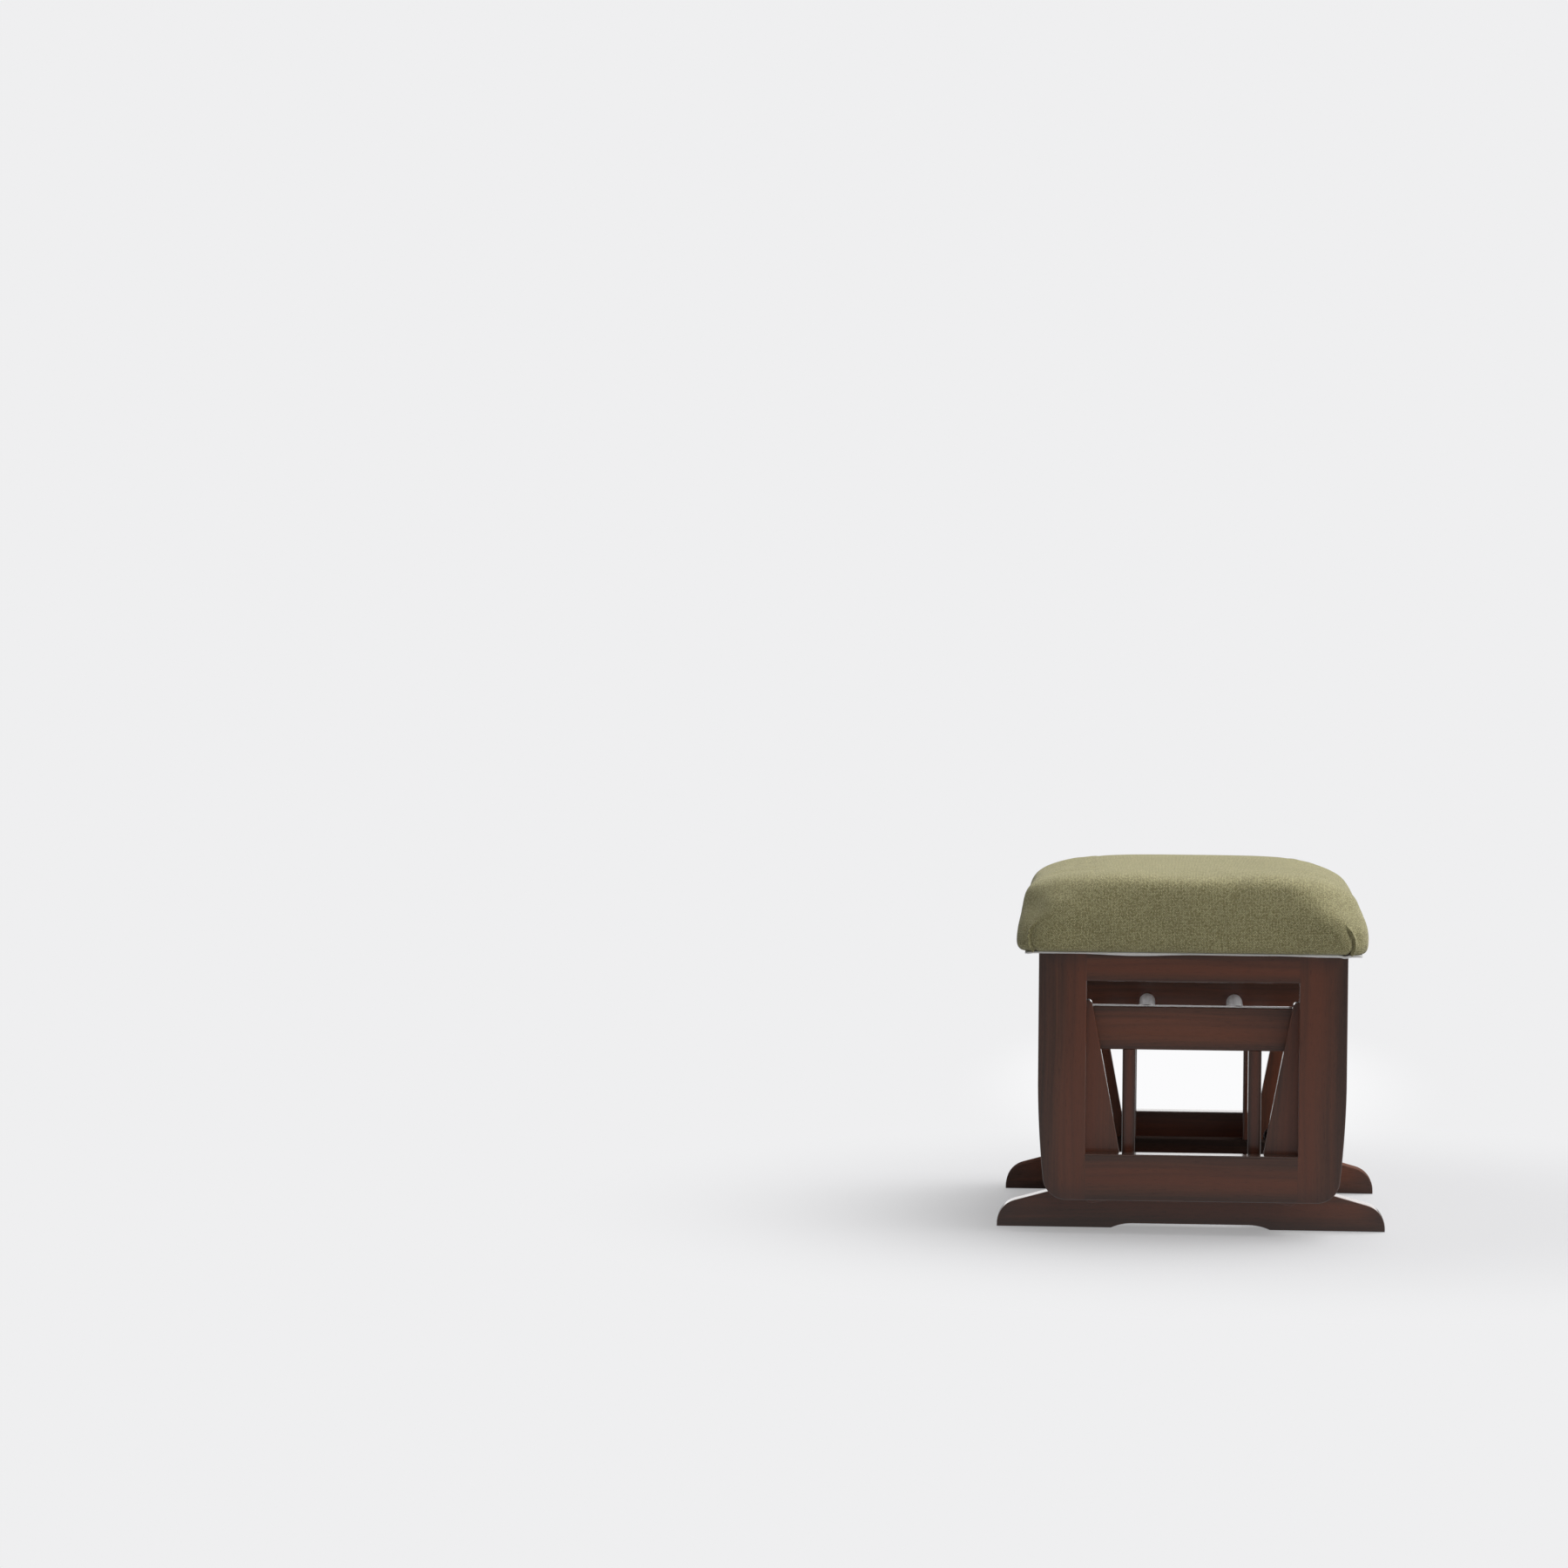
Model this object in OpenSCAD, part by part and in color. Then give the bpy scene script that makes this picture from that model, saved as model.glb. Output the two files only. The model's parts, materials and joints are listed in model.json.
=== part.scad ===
// Glider ottoman: a cushioned frame that hangs on four wooden arms from a fixed base.
// X is the way it glides, Y is its width, Z is up. The origin is on the floor, under the middle.
// Every piece is drawn once, for the right far corner, and mirrored to the others.

/* [Side frames] */
// Width across the outer faces of the two side frames
frame_w = 459; // [420:1:520]
// Length of a side frame along the glide
side_len = 331.2; // [320:0.1:360]
// Height of a side frame's lower edge above the floor
side_low = 36; // [32:0.5:42]
// Height of a side frame, top to bottom
side_h = 267; // [262:1:290]
// Thickness of the side frame's boards
side_t = 25; // [22:0.5:30]
// Width of the upright boards, the stiles
stile_w = 51.7; // [46:0.1:56]
// Height of the top rail
top_rail_h = 30.5; // [28:0.5:36]
// Height of the bottom rail
bottom_rail_h = 50; // [46:1:56]
// How far a stile's outer edge leans in at its foot
stile_lean = 9; // [4:0.5:12]
// Length of the leaning part, up from the lower edge
lean_h = 139; // [110:1:160]
// Radius of the lower outer corners
side_corner_r = 25; // [15:1:30]

/* [Base] */
// Length of a foot along the glide
foot_len = 420; // [400:1:460]
// Height of a foot at its level middle
foot_h = 60; // [56:1:66]
// Length of the level top of a foot
foot_level = 156; // [150:1:166]
// Slope of the foot's upper edge in degrees
foot_slope = 15.5; // [13:0.5:16]
// Radius of the rounded toe
toe_r = 26; // [18:1:28]
// Length of the raised part under the foot
arch_len = 126; // [90:1:130]
// Height of the raised part
arch_h = 5; // [3:0.5:7]
// Radius of the sweep at each end of the raised part
arch_r = 55.4; // [40:0.1:60]
// Thickness of the base's boards
base_t = 25; // [22:0.5:30]
// Length of a base rail
rail_len = 300; // [290:1:312]
// Height of a base rail
rail_h = 47; // [42:1:50]
// Height of the base rail's centre line above the floor
rail_z = 218; // [214:1:222]
// Corner radius of a base rail's ends
rail_end_r = 14; // [8:1:20]
// Width of a post
post_w = 14.3; // [12:0.1:16]
// Distance of a post's centre from the middle
post_x = 68; // [66:0.5:70]
// Outer diameter of a cross tube
tube_d = 18; // [16:0.5:19]
// Wall of a cross tube
tube_wall = 1.5; // [1:0.1:2.5]
// Distance of a cross tube's centre from the middle
tube_x = 49.7; // [46:0.1:51]
// Depth of a cross tube's socket in the rail
tube_socket = 12; // [10:0.5:16]
// Thickness of a floor stretcher
stretcher_t = 20; // [18:1:24]
// Height of a floor stretcher
stretcher_h = 40; // [38:1:42]
// Height of the floor stretcher's lower edge above the floor
stretcher_low = 8; // [6:0.5:9]
// Distance of a floor stretcher's centre from the middle
stretcher_x = 100; // [98:1:104]

/* [Arms] */
// Distance of an upper pivot from the middle
upper_x = 125.5; // [124:0.1:128]
// Distance of a lower pivot from the middle
lower_x = 95.7; // [94:0.1:96]
// Width of an arm
arm_w = 45; // [40:1:48]
// Thickness of an arm
arm_t = 20; // [19:0.5:24]
// Length of an arm past each pivot
arm_end = 29; // [24:1:31]
// Corner radius of an arm
arm_corner_r = 6; // [3:0.5:10]
// Gap between an arm and the boards on either side of it
arm_gap = 3; // [2:0.5:5]

/* [Cushion] */
// How far the cushion stands out past a side frame's ends
cushion_past_end = 22.9; // [16:0.1:30]
// How far the cushion stands out past a side frame's outer face
cushion_past_side = 8.5; // [4:0.5:16]
// Height of the cushion at the top of its crown
cushion_h = 86; // [80:1:110]
// Height of the cushion's widest line above its underside
cushion_belly = 15; // [10:1:20]
// How far the underside is tucked in from the widest line
cushion_tuck = 6; // [3:0.5:10]
// How far in from the widest line the shoulder ends
shoulder_in = 84; // [60:1:95]
// Rise of the crown above the shoulder's end
crown_rise = 5; // [2:0.5:12]
// Plan radius of the cushion's corners
cushion_corner_r = 30; // [20:1:45]
// How far the middle of each side is drawn in between the corners
side_draw = 5; // [0:0.5:8]
// Thickness of the plywood board
board_t = 12; // [9:0.5:15]
// Distance of the board's edge from the cushion's widest line
board_in = 18; // [16:0.5:24]
// Distance of the foam block's sides from the cushion's widest line
foam_in = 40; // [36:1:60]
// Thickness of the foam block
foam_t = 50; // [40:1:52]
// Thickness of the lining under the cushion
lining_t = 1; // [0.5:0.1:1.5]
// Distance of the lining's edge from the cushion's widest line
lining_in = 8; // [7:0.5:12]

/* [Cross rails] */
// Thickness of the cross rails under the cushion
cross_t = 20; // [16:1:24]
// Height of the cross rails under the cushion
cross_h = 46; // [42:1:48]
// Distance of a cross rail's centre from the side frame's end
cross_from_end = 15.6; // [13:0.1:20]

/* [Hardware] */
// Diameter of the pivot bolts
bolt_d = 8; // [7:0.5:8]
// Diameter of a pivot bolt's head
bolt_head_d = 14; // [13.5:0.5:15]
// Height of a pivot bolt's head
bolt_head_h = 4.5; // [3.5:0.1:5]
// Width of the hexagon socket across its corners
hex_d = 5.8; // [4.6:0.1:6]
// Depth of the hexagon socket
hex_depth = 2.6; // [2:0.1:3]
// Outer diameter of a bearing
bearing_d = 22; // [21:0.5:24]
// Width of a bearing
bearing_w = 8; // [7:0.5:8]
// Wall that stops the bearing in the arm
bearing_stop = 2; // [1.5:0.1:2.5]
// Outer diameter of a threaded insert
insert_d = 12; // [11:0.5:14]
// Length of a threaded insert
insert_l = 15; // [12:0.5:18]
// Outer diameter of the spacer ring on a pivot bolt
spacer_d = 12; // [11:0.5:12.5]
// Radial play at the two lower right pivots, which the linkage leaves open
open_play = 2.1; // [2:0.05:2.2]
// Diameter of the dowels
dowel_d = 8; // [6:0.5:8]
// Length of the dowels
dowel_l = 30; // [24:1:32]
// Diameter of the stretcher bolts
long_bolt_d = 6; // [5:0.5:6.5]
// Length of a stretcher bolt under its head
long_bolt_l = 58; // [52:1:64]
// Diameter of the barrel nuts
barrel_d = 10; // [9:0.5:11]
// Length of the barrel nuts
barrel_l = 14; // [12:0.5:15]
// Diameter of the wood screws
screw_d = 4.5; // [3.5:0.1:5]
// Diameter of a wood screw's head
screw_head_d = 8.4; // [7.5:0.1:9]
// Height of a wood screw's head
screw_head_h = 3; // [2:0.1:3.5]
// Distance of the cushion screws from the middle, across the width
screw_y = 120; // [100:1:150]

/* [Hidden] */
$fn = 96;

// Clearances and the overrun of every cut
fit_gap = 0.05;     // between a glued or pressed piece and its hole, and round a running bolt
face_gap = 0.1;     // between faces that turn against each other
tenon_gap = 0.1;    // round a tenon and a dowel's end
over = 1;           // overrun of a cut past the surface
fine_fn = 720;      // facets of the long shallow arcs
hex_fn = 6;

// Layers from the middle plane outwards: base, arm, side frame
side_out = frame_w / 2;
side_in = side_out - side_t;
arm_out = side_in - arm_gap;
arm_in = arm_out - arm_t;
base_out = arm_in - arm_gap;
base_in = base_out - base_t;
side_mid = side_out - side_t / 2;
base_mid = base_out - base_t / 2;

// Side frame
side_half = side_len / 2;
side_top = side_low + side_h;
window_half = side_half - stile_w;
top_rail_low = side_top - top_rail_h;
bottom_rail_top = side_low + bottom_rail_h;
top_rail_z = side_top - top_rail_h / 2;
lean_z = side_low + lean_h;
lean_r = (lean_h * lean_h + stile_lean * stile_lean) / (2 * stile_lean);
lean_cx = side_half - lean_r;
corner_z = side_low + side_corner_r;
corner_x = lean_cx + sqrt(pow(lean_r - side_corner_r, 2) - pow(lean_z - corner_z, 2));
corner_touch_z = corner_z - side_corner_r * (lean_z - corner_z) / (lean_r - side_corner_r);
dowel_rise_shares = [-0.27, 0.27];  // dowels above and below a rail's centre line, of its height

// Pivots and arms
upper_z = rail_z;
lower_z = side_low + bottom_rail_h / 2;
link_l = norm([upper_x - lower_x, upper_z - lower_z]);
arm_lean = atan2(upper_x - lower_x, upper_z - lower_z);

// Foot
foot_half = foot_len / 2;
level_half = foot_level / 2;
toe_x = foot_half - toe_r;
toe_z = foot_h - (toe_x - level_half) * tan(foot_slope) - toe_r / cos(foot_slope);
arch_half = arch_len / 2;

// Base rail and posts
rail_half = rail_len / 2;
rail_low = rail_z - rail_h / 2;
rail_top = rail_z + rail_h / 2;
tenon_w_share = 0.55;   // tenon width, of the post's width
tenon_t_share = 0.6;    // tenon thickness, of the post's thickness
tenon_l = 15;
tenon_w = post_w * tenon_w_share;
tenon_t = base_t * tenon_t_share;

// Cross tubes and their screws
tube_end = base_in + tube_socket;
tube_screw_y = base_in + tube_socket / 2;
tube_top = rail_z + tube_d / 2;
tube_screw_bite = 3;    // how far the screw reaches inside the tube
screw_sink = 1;         // how far the screw heads lie under the surface

// Floor stretchers
stretcher_z = stretcher_low + stretcher_h / 2;
bolt_rise = 8;          // the stretcher's bolt above its centre line
stretcher_dowel_drop = 10;
long_head_d = 10;
long_head_h = 6;
long_head_sink = 1;
barrel_in = 30;         // barrel nut's axis from the stretcher's end
barrel_skin = 2;        // wood past the end of the barrel nut's hole
bolt_z = stretcher_z + bolt_rise;
bolt_head_in = base_out - long_head_sink - long_head_h;

// Pivot hardware, measured along the bolt from the middle plane
upper_ring_in = arm_in + bearing_stop;
upper_ring_out = upper_ring_in + bearing_w;
lower_ring_out = arm_out - bearing_stop;
lower_ring_in = lower_ring_out - bearing_w;
stop_hole_play = 0.4;   // round a spacer ring, past the play of the open pivots
stop_hole_d = spacer_d + 2 * (open_play + stop_hole_play);
race_wall = 1.8;
ring_wall = 2.1;
open_ring_wall = 1.2;
seal_in = 1;            // how far the seal lies under the ring's face
head_r_share = 0.7;     // flat top of a domed head, of its radius
dome_share = 0.5;       // domed part of the head, of its height

// Cross rails
cross_x = side_half - cross_from_end;
cross_low = side_top - cross_h;
cross_dowel_in = 12;    // depth of a cross rail's dowel in the stile
cross_dowel_rise_shares = [-0.25, 0.2];

// Cushion
cushion_l = side_len + 2 * cushion_past_end;
cushion_w = frame_w + 2 * cushion_past_side;
lining_low = side_top;
cushion_low = lining_low + lining_t;
board_top = cushion_low + board_t;
foam_top = board_top + foam_t;
belly_z = cushion_low + cushion_belly;
shoulder_z = cushion_low + cushion_h - crown_rise;
screw_bite_share = 0.7; // how far a cushion screw reaches into the board
counterbore_l = 14;
shoulder_power = 2.2;   // roundness of the shoulder, 2 being an ellipse
under_steps = 3;
shoulder_steps = 8;
crown_shares = [0.7, 0.35];
corner_grow_share = 1.2;  // how much the corner radius grows up to the shoulder's end
corner_steps = 6;
side_steps = 6;

// Placing and shaping helpers

module far_or_near(side) {
    if (side == "near") mirror([0, 1, 0]) children();
    else children();
}

module right_or_left(end) {
    if (end == "left") mirror([1, 0, 0]) children();
    else children();
}

module at_corner(side, end) {
    far_or_near(side) right_or_left(end) children();
}

module at_corners() {
    for (side = ["near", "far"], end = ["left", "right"]) at_corner(side, end) children();
}

// A board cut from an outline in X and Z, between two distances from the middle plane
module board(y_in, y_out) {
    translate([0, y_out, 0]) rotate([90, 0, 0]) linear_extrude(y_out - y_in) children();
}

// A round bar or hole along Y
module along_y(x, z, d, y_in, y_out) {
    translate([x, y_out, z]) rotate([90, 0, 0]) cylinder(h = y_out - y_in, d = d);
}

// A round bar or hole along X
module along_x(y, z, d, x_in, x_out) {
    translate([x_in, y, z]) rotate([0, 90, 0]) cylinder(h = x_out - x_in, d = d);
}

// A round bar or hole along Z
module along_z(x, y, d, z_low, z_high) {
    translate([x, y, z_low]) cylinder(h = z_high - z_low, d = d);
}

module centred_rect(w, h) {
    translate([-w / 2, -h / 2]) square([w, h]);
}

module rounded_rect(w, h, r) {
    centred_rect(w - 2 * r, h);
    centred_rect(w, h - 2 * r);
    for (sx = [-1, 1], sz = [-1, 1]) translate([sx * (w / 2 - r), sz * (h / 2 - r)]) circle(r);
}

// Foot

module foot_half_outline() {
    touch = [toe_x + toe_r * sin(foot_slope), toe_z + toe_r * cos(foot_slope)];
    polygon([[0, 0], [foot_half, 0], [foot_half, toe_z], [toe_x, toe_z], touch,
        [level_half, foot_h], [0, foot_h]]);
    intersection() {
        translate([toe_x, toe_z]) circle(toe_r);
        translate([toe_x, toe_z]) square(toe_r);
    }
}

module both_halves() {
    children();
    mirror([1, 0]) children();
}

module arch_outline() {
    translate([-arch_half, -over]) square([arch_len, arch_h + over]);
    for (sx = [-1, 1]) translate([sx * arch_half, arch_h - arch_r]) circle(arch_r);
}

module mortise(z_low, z_high) {
    translate([post_x - tenon_w / 2 - tenon_gap, base_mid - tenon_t / 2 - tenon_gap, z_low])
        cube([tenon_w + 2 * tenon_gap, tenon_t + 2 * tenon_gap, z_high - z_low]);
}

module both_ends() {
    for (end = ["left", "right"]) right_or_left(end) children();
}

module foot(side) {
    color([0.33, 0.19, 0.14]) far_or_near(side) difference() {
        board(base_in, base_out) difference() {
            union() both_halves() foot_half_outline();
            arch_outline();
        }
        both_ends() {
            mortise(foot_h - tenon_l - tenon_gap, foot_h + over);
            along_y(stretcher_x, bolt_z, long_bolt_d + 2 * fit_gap, base_in - over, base_out + over);
            along_y(stretcher_x, bolt_z, long_head_d + 2 * tenon_gap, bolt_head_in, base_out + over);
            along_y(stretcher_x, stretcher_z - stretcher_dowel_drop, dowel_d + 2 * fit_gap,
                base_in - over, base_in + dowel_l / 2 + tenon_gap);
        }
    }
}

// Posts and base rails

module post(side, end) {
    color([0.33, 0.19, 0.14]) at_corner(side, end) {
        translate([post_x - post_w / 2, base_in, foot_h]) cube([post_w, base_t, rail_low - foot_h]);
        translate([post_x - tenon_w / 2, base_mid - tenon_t / 2, foot_h - tenon_l])
            cube([tenon_w, tenon_t, rail_low - foot_h + 2 * tenon_l]);
    }
}

module base_rail(side) {
    color([0.30, 0.17, 0.13]) far_or_near(side) difference() {
        board(base_in, base_out) translate([0, rail_z]) rounded_rect(rail_len, rail_h, rail_end_r);
        both_ends() {
            mortise(rail_low - over, rail_low + tenon_l + tenon_gap);
            along_y(tube_x, rail_z, tube_d + 2 * fit_gap, base_in - over, tube_end + tenon_gap);
            along_y(upper_x, upper_z, insert_d + 2 * fit_gap, base_out - insert_l - over, base_out + over);
            along_z(tube_x, tube_screw_y, screw_d + 2 * fit_gap, rail_z, rail_top + over);
            along_z(tube_x, tube_screw_y, screw_head_d + 2 * tenon_gap,
                rail_top - screw_sink - screw_head_h, rail_top + over);
        }
    }
}

module cross_tube(end) {
    color([0.62, 0.63, 0.64]) right_or_left(end) difference() {
        along_y(tube_x, rail_z, tube_d, -tube_end, tube_end);
        along_y(tube_x, rail_z, tube_d - 2 * tube_wall, -tube_end - over, tube_end + over);
        for (side = ["near", "far"]) far_or_near(side)
            along_z(tube_x, tube_screw_y, screw_d + 2 * fit_gap, rail_z, tube_top + over);
    }
}

// A countersunk screw with its head up, at the top of its hole
module wood_screw(l) {
    difference() {
        union() {
            translate([0, 0, -l]) cylinder(h = l, d = screw_d);
            translate([0, 0, -screw_head_h]) cylinder(h = screw_head_h, d1 = screw_d, d2 = screw_head_d);
        }
        translate([0, 0, -screw_head_h * dome_share]) cylinder(h = screw_head_h, d = screw_d, $fn = hex_fn);
    }
}

module tube_screws() {
    tip_z = tube_top - tube_wall - tube_screw_bite;
    color("gray") at_corners()
        translate([tube_x, tube_screw_y, rail_top - screw_sink]) wood_screw(rail_top - screw_sink - tip_z);
}

// Floor stretchers

module stretcher(end) {
    color([0.30, 0.17, 0.13]) right_or_left(end) difference() {
        translate([stretcher_x - stretcher_t / 2, -base_in, stretcher_low])
            cube([stretcher_t, 2 * base_in, stretcher_h]);
        for (side = ["near", "far"]) far_or_near(side) {
            along_y(stretcher_x, bolt_z, long_bolt_d + 2 * fit_gap,
                bolt_head_in - long_bolt_l - over, base_in + over);
            along_x(base_in - barrel_in, bolt_z, barrel_d + 2 * fit_gap,
                stretcher_x - stretcher_t / 2 - over, stretcher_x + stretcher_t / 2 - barrel_skin);
            along_y(stretcher_x, stretcher_z - stretcher_dowel_drop, dowel_d + 2 * fit_gap,
                base_in - dowel_l / 2 - tenon_gap, base_in + over);
        }
    }
}

module stretcher_bolts() {
    color("gray") at_corners() difference() {
        union() {
            along_y(stretcher_x, bolt_z, long_bolt_d, bolt_head_in - long_bolt_l, bolt_head_in + over);
            along_y(stretcher_x, bolt_z, long_head_d, bolt_head_in, bolt_head_in + long_head_h);
        }
        hex_socket(stretcher_x, bolt_z, bolt_head_in + long_head_h);
    }
}

module barrel_nuts() {
    x_out = stretcher_x + stretcher_t / 2 - barrel_skin - tenon_gap;
    color("silver") at_corners() difference() {
        along_x(base_in - barrel_in, bolt_z, barrel_d, x_out - barrel_l, x_out);
        along_y(stretcher_x, bolt_z, long_bolt_d + 2 * fit_gap, base_in - 2 * barrel_in, base_in);
    }
}

module stretcher_dowels() {
    z = stretcher_z - stretcher_dowel_drop;
    color("burlywood") at_corners()
        along_y(stretcher_x, z, dowel_d, base_in - dowel_l / 2, base_in + dowel_l / 2);
}

// Pivot hardware

// Hexagon socket in a head whose face looks outwards at y_face
module hex_socket(x, z, y_face) {
    translate([x, y_face + over, z]) rotate([90, 0, 0])
        cylinder(h = hex_depth + over, d = hex_d, $fn = hex_fn);
}

// A pivot bolt along +Y: the head's seat is at 0, its domed head above and its shank below
module pivot_bolt(shank_l) {
    difference() {
        rotate([-90, 0, 0]) rotate_extrude() polygon([[0, -shank_l], [bolt_d / 2, -shank_l], [bolt_d / 2, 0],
            [bolt_head_d / 2, 0], [bolt_head_d / 2, bolt_head_h * dome_share],
            [bolt_head_d / 2 * head_r_share, bolt_head_h], [0, bolt_head_h]]);
        hex_socket(0, 0, bolt_head_h);
    }
}

module upper_pivot_bolts() {
    seat = upper_ring_out + face_gap;
    color("gray") at_corners()
        translate([upper_x, seat, upper_z]) pivot_bolt(seat - (base_out - insert_l));
}

module lower_pivot_bolts() {
    seat = lower_ring_in - face_gap;
    color("gray") at_corners()
        translate([lower_x, seat, lower_z]) rotate([0, 0, 180]) pivot_bolt(side_in + insert_l - seat);
}

module ring(x, z, d, hole_d, y_in, y_out) {
    difference() {
        along_y(x, z, d, y_in, y_out);
        along_y(x, z, hole_d, y_in - over, y_out + over);
    }
}

module upper_inserts() {
    color("goldenrod") at_corners()
        ring(upper_x, upper_z, insert_d, bolt_d + 2 * fit_gap, base_out - insert_l, base_out);
}

module lower_inserts() {
    color("goldenrod") at_corners()
        ring(lower_x, lower_z, insert_d, bolt_d + 2 * fit_gap, side_in, side_in + insert_l);
}

module upper_spacers() {
    color("silver") at_corners()
        ring(upper_x, upper_z, spacer_d, bolt_d + 2 * fit_gap, base_out, upper_ring_in - face_gap);
}

module lower_spacers() {
    color("silver") at_corners()
        ring(lower_x, lower_z, spacer_d, bolt_d + 2 * fit_gap, lower_ring_out + face_gap, side_in);
}

// Outer ring, inner ring and the seal between them
module bearing(x, z, y_in, hole_d, wall) {
    y_out = y_in + bearing_w;
    inner_d = hole_d + 2 * wall;
    outer_hole_d = bearing_d - 2 * race_wall;
    ring(x, z, bearing_d, outer_hole_d, y_in, y_out);
    ring(x, z, inner_d, hole_d, y_in, y_out);
    ring(x, z, outer_hole_d - 2 * fit_gap, inner_d + 2 * fit_gap, y_in + seal_in, y_out - seal_in);
}

module bearings(side, end) {
    hole_d = bolt_d + 2 * fit_gap;
    open_hole_d = bolt_d + 2 * open_play;
    color("silver") at_corner(side, end) {
        bearing(upper_x, upper_z, upper_ring_in, hole_d, ring_wall);
        if (end == "right") bearing(lower_x, lower_z, lower_ring_in, open_hole_d, open_ring_wall);
        else bearing(lower_x, lower_z, lower_ring_in, hole_d, ring_wall);
    }
}

// Arms

module arm(side, end) {
    color([0.36, 0.21, 0.15]) at_corner(side, end) difference() {
        board(arm_in, arm_out)
            translate([(upper_x + lower_x) / 2, (upper_z + lower_z) / 2]) rotate(-arm_lean)
            rounded_rect(arm_w, link_l + 2 * arm_end, arm_corner_r);
        along_y(upper_x, upper_z, bearing_d + 2 * fit_gap, upper_ring_in, arm_out + over);
        along_y(upper_x, upper_z, stop_hole_d, arm_in - over, upper_ring_in + over);
        along_y(lower_x, lower_z, bearing_d + 2 * fit_gap, arm_in - over, lower_ring_out);
        along_y(lower_x, lower_z, stop_hole_d, lower_ring_out - over, arm_out + over);
    }
}

// Side frames

module stile_outline() {
    intersection() {
        translate([window_half, corner_touch_z]) square([stile_w, side_top - corner_touch_z]);
        union() {
            translate([lean_cx, lean_z]) circle(lean_r, $fn = fine_fn);
            translate([window_half, lean_z]) square([stile_w, side_top - lean_z]);
        }
    }
    intersection() {
        translate([corner_x, corner_z]) circle(side_corner_r);
        translate([corner_x, side_low]) square([side_corner_r, 2 * side_corner_r]);
    }
    translate([window_half, side_low]) square([corner_x - window_half, side_corner_r]);
}

module rail_dowel_cuts(z_mid, h) {
    for (share = dowel_rise_shares)
        along_x(side_mid, z_mid + share * h, dowel_d + 2 * fit_gap,
            window_half - dowel_l / 2 - tenon_gap, window_half + dowel_l / 2 + tenon_gap);
}

module cross_dowel_cuts() {
    for (share = cross_dowel_rise_shares)
        along_y(cross_x, cross_low + cross_h / 2 + share * cross_h, dowel_d + 2 * fit_gap,
            side_in + cross_dowel_in - dowel_l - tenon_gap, side_in + cross_dowel_in + tenon_gap);
}

module stile(side, end) {
    color([0.35, 0.20, 0.15]) at_corner(side, end) difference() {
        board(side_in, side_out) stile_outline();
        rail_dowel_cuts(top_rail_z, top_rail_h);
        rail_dowel_cuts(lower_z, bottom_rail_h);
        cross_dowel_cuts();
    }
}

module top_rail(side) {
    color([0.37, 0.21, 0.16]) far_or_near(side) difference() {
        board(side_in, side_out)
            translate([0, top_rail_z]) centred_rect(2 * window_half, top_rail_h);
        both_ends() rail_dowel_cuts(top_rail_z, top_rail_h);
    }
}

module bottom_rail(side) {
    color([0.37, 0.21, 0.16]) far_or_near(side) difference() {
        board(side_in, side_out)
            translate([0, lower_z]) centred_rect(2 * window_half, bottom_rail_h);
        both_ends() {
            rail_dowel_cuts(lower_z, bottom_rail_h);
            along_y(lower_x, lower_z, insert_d + 2 * fit_gap, side_in - over, side_in + insert_l + over);
        }
    }
}

module frame_dowels() {
    color("burlywood") at_corners()
        for (rail = [[top_rail_z, top_rail_h], [lower_z, bottom_rail_h]], share = dowel_rise_shares)
            along_x(side_mid, rail[0] + share * rail[1], dowel_d,
                window_half - dowel_l / 2, window_half + dowel_l / 2);
}

// Cross rails under the cushion

module cross_rail(end) {
    color([0.33, 0.19, 0.14]) right_or_left(end) difference() {
        translate([cross_x - cross_t / 2, -side_in, cross_low]) cube([cross_t, 2 * side_in, cross_h]);
        for (side = ["near", "far"]) far_or_near(side) {
            cross_dowel_cuts();
            along_z(cross_x, screw_y, screw_d + 2 * fit_gap, cross_low - over, side_top + over);
            along_z(cross_x, screw_y, screw_head_d + 2 * tenon_gap,
                cross_low - over, cross_low + counterbore_l);
        }
    }
}

module cross_rail_dowels() {
    color("burlywood") at_corners() for (share = cross_dowel_rise_shares)
        along_y(cross_x, cross_low + cross_h / 2 + share * cross_h, dowel_d,
            side_in + cross_dowel_in - dowel_l, side_in + cross_dowel_in);
}

// Cushion

module cushion_screws() {
    head_z = cross_low + counterbore_l - screw_head_h;
    tip_z = cushion_low + screw_bite_share * board_t;
    color("gray") at_corners()
        translate([cross_x, screw_y, head_z]) rotate([180, 0, 0]) wood_screw(tip_z - head_z);
}

// A flat layer whose edge lies a given distance inside the cushion's widest line
module cushion_slab(inset, z_low, z_high) {
    l = cushion_l - 2 * inset;
    w = cushion_w - 2 * inset;
    translate([-l / 2, -w / 2, z_low]) cube([l, w, z_high - z_low]);
}

module lining() {
    color("white") difference() {
        cushion_slab(lining_in, lining_low, cushion_low);
        at_corners() along_z(cross_x, screw_y, screw_d + 2 * fit_gap, lining_low - over, cushion_low + over);
    }
}

module cushion_board() {
    tip_z = cushion_low + screw_bite_share * board_t;
    color("burlywood") difference() {
        cushion_slab(board_in, cushion_low, board_top);
        at_corners() along_z(cross_x, screw_y, screw_d + 2 * fit_gap, cushion_low - over, tip_z + tenon_gap);
    }
}

module foam_block() {
    color("lightyellow") cushion_slab(foam_in, board_top, foam_top);
}

// One level of the cushion: [how far in, height, corner radius, draw of the sides]
under_levels = [for (i = [0 : under_steps - 1]) let (a = 90 * i / under_steps)
    [cushion_tuck * (1 - sin(a)), cushion_low + cushion_belly * (1 - cos(a)), cushion_corner_r, 0]];

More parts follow.
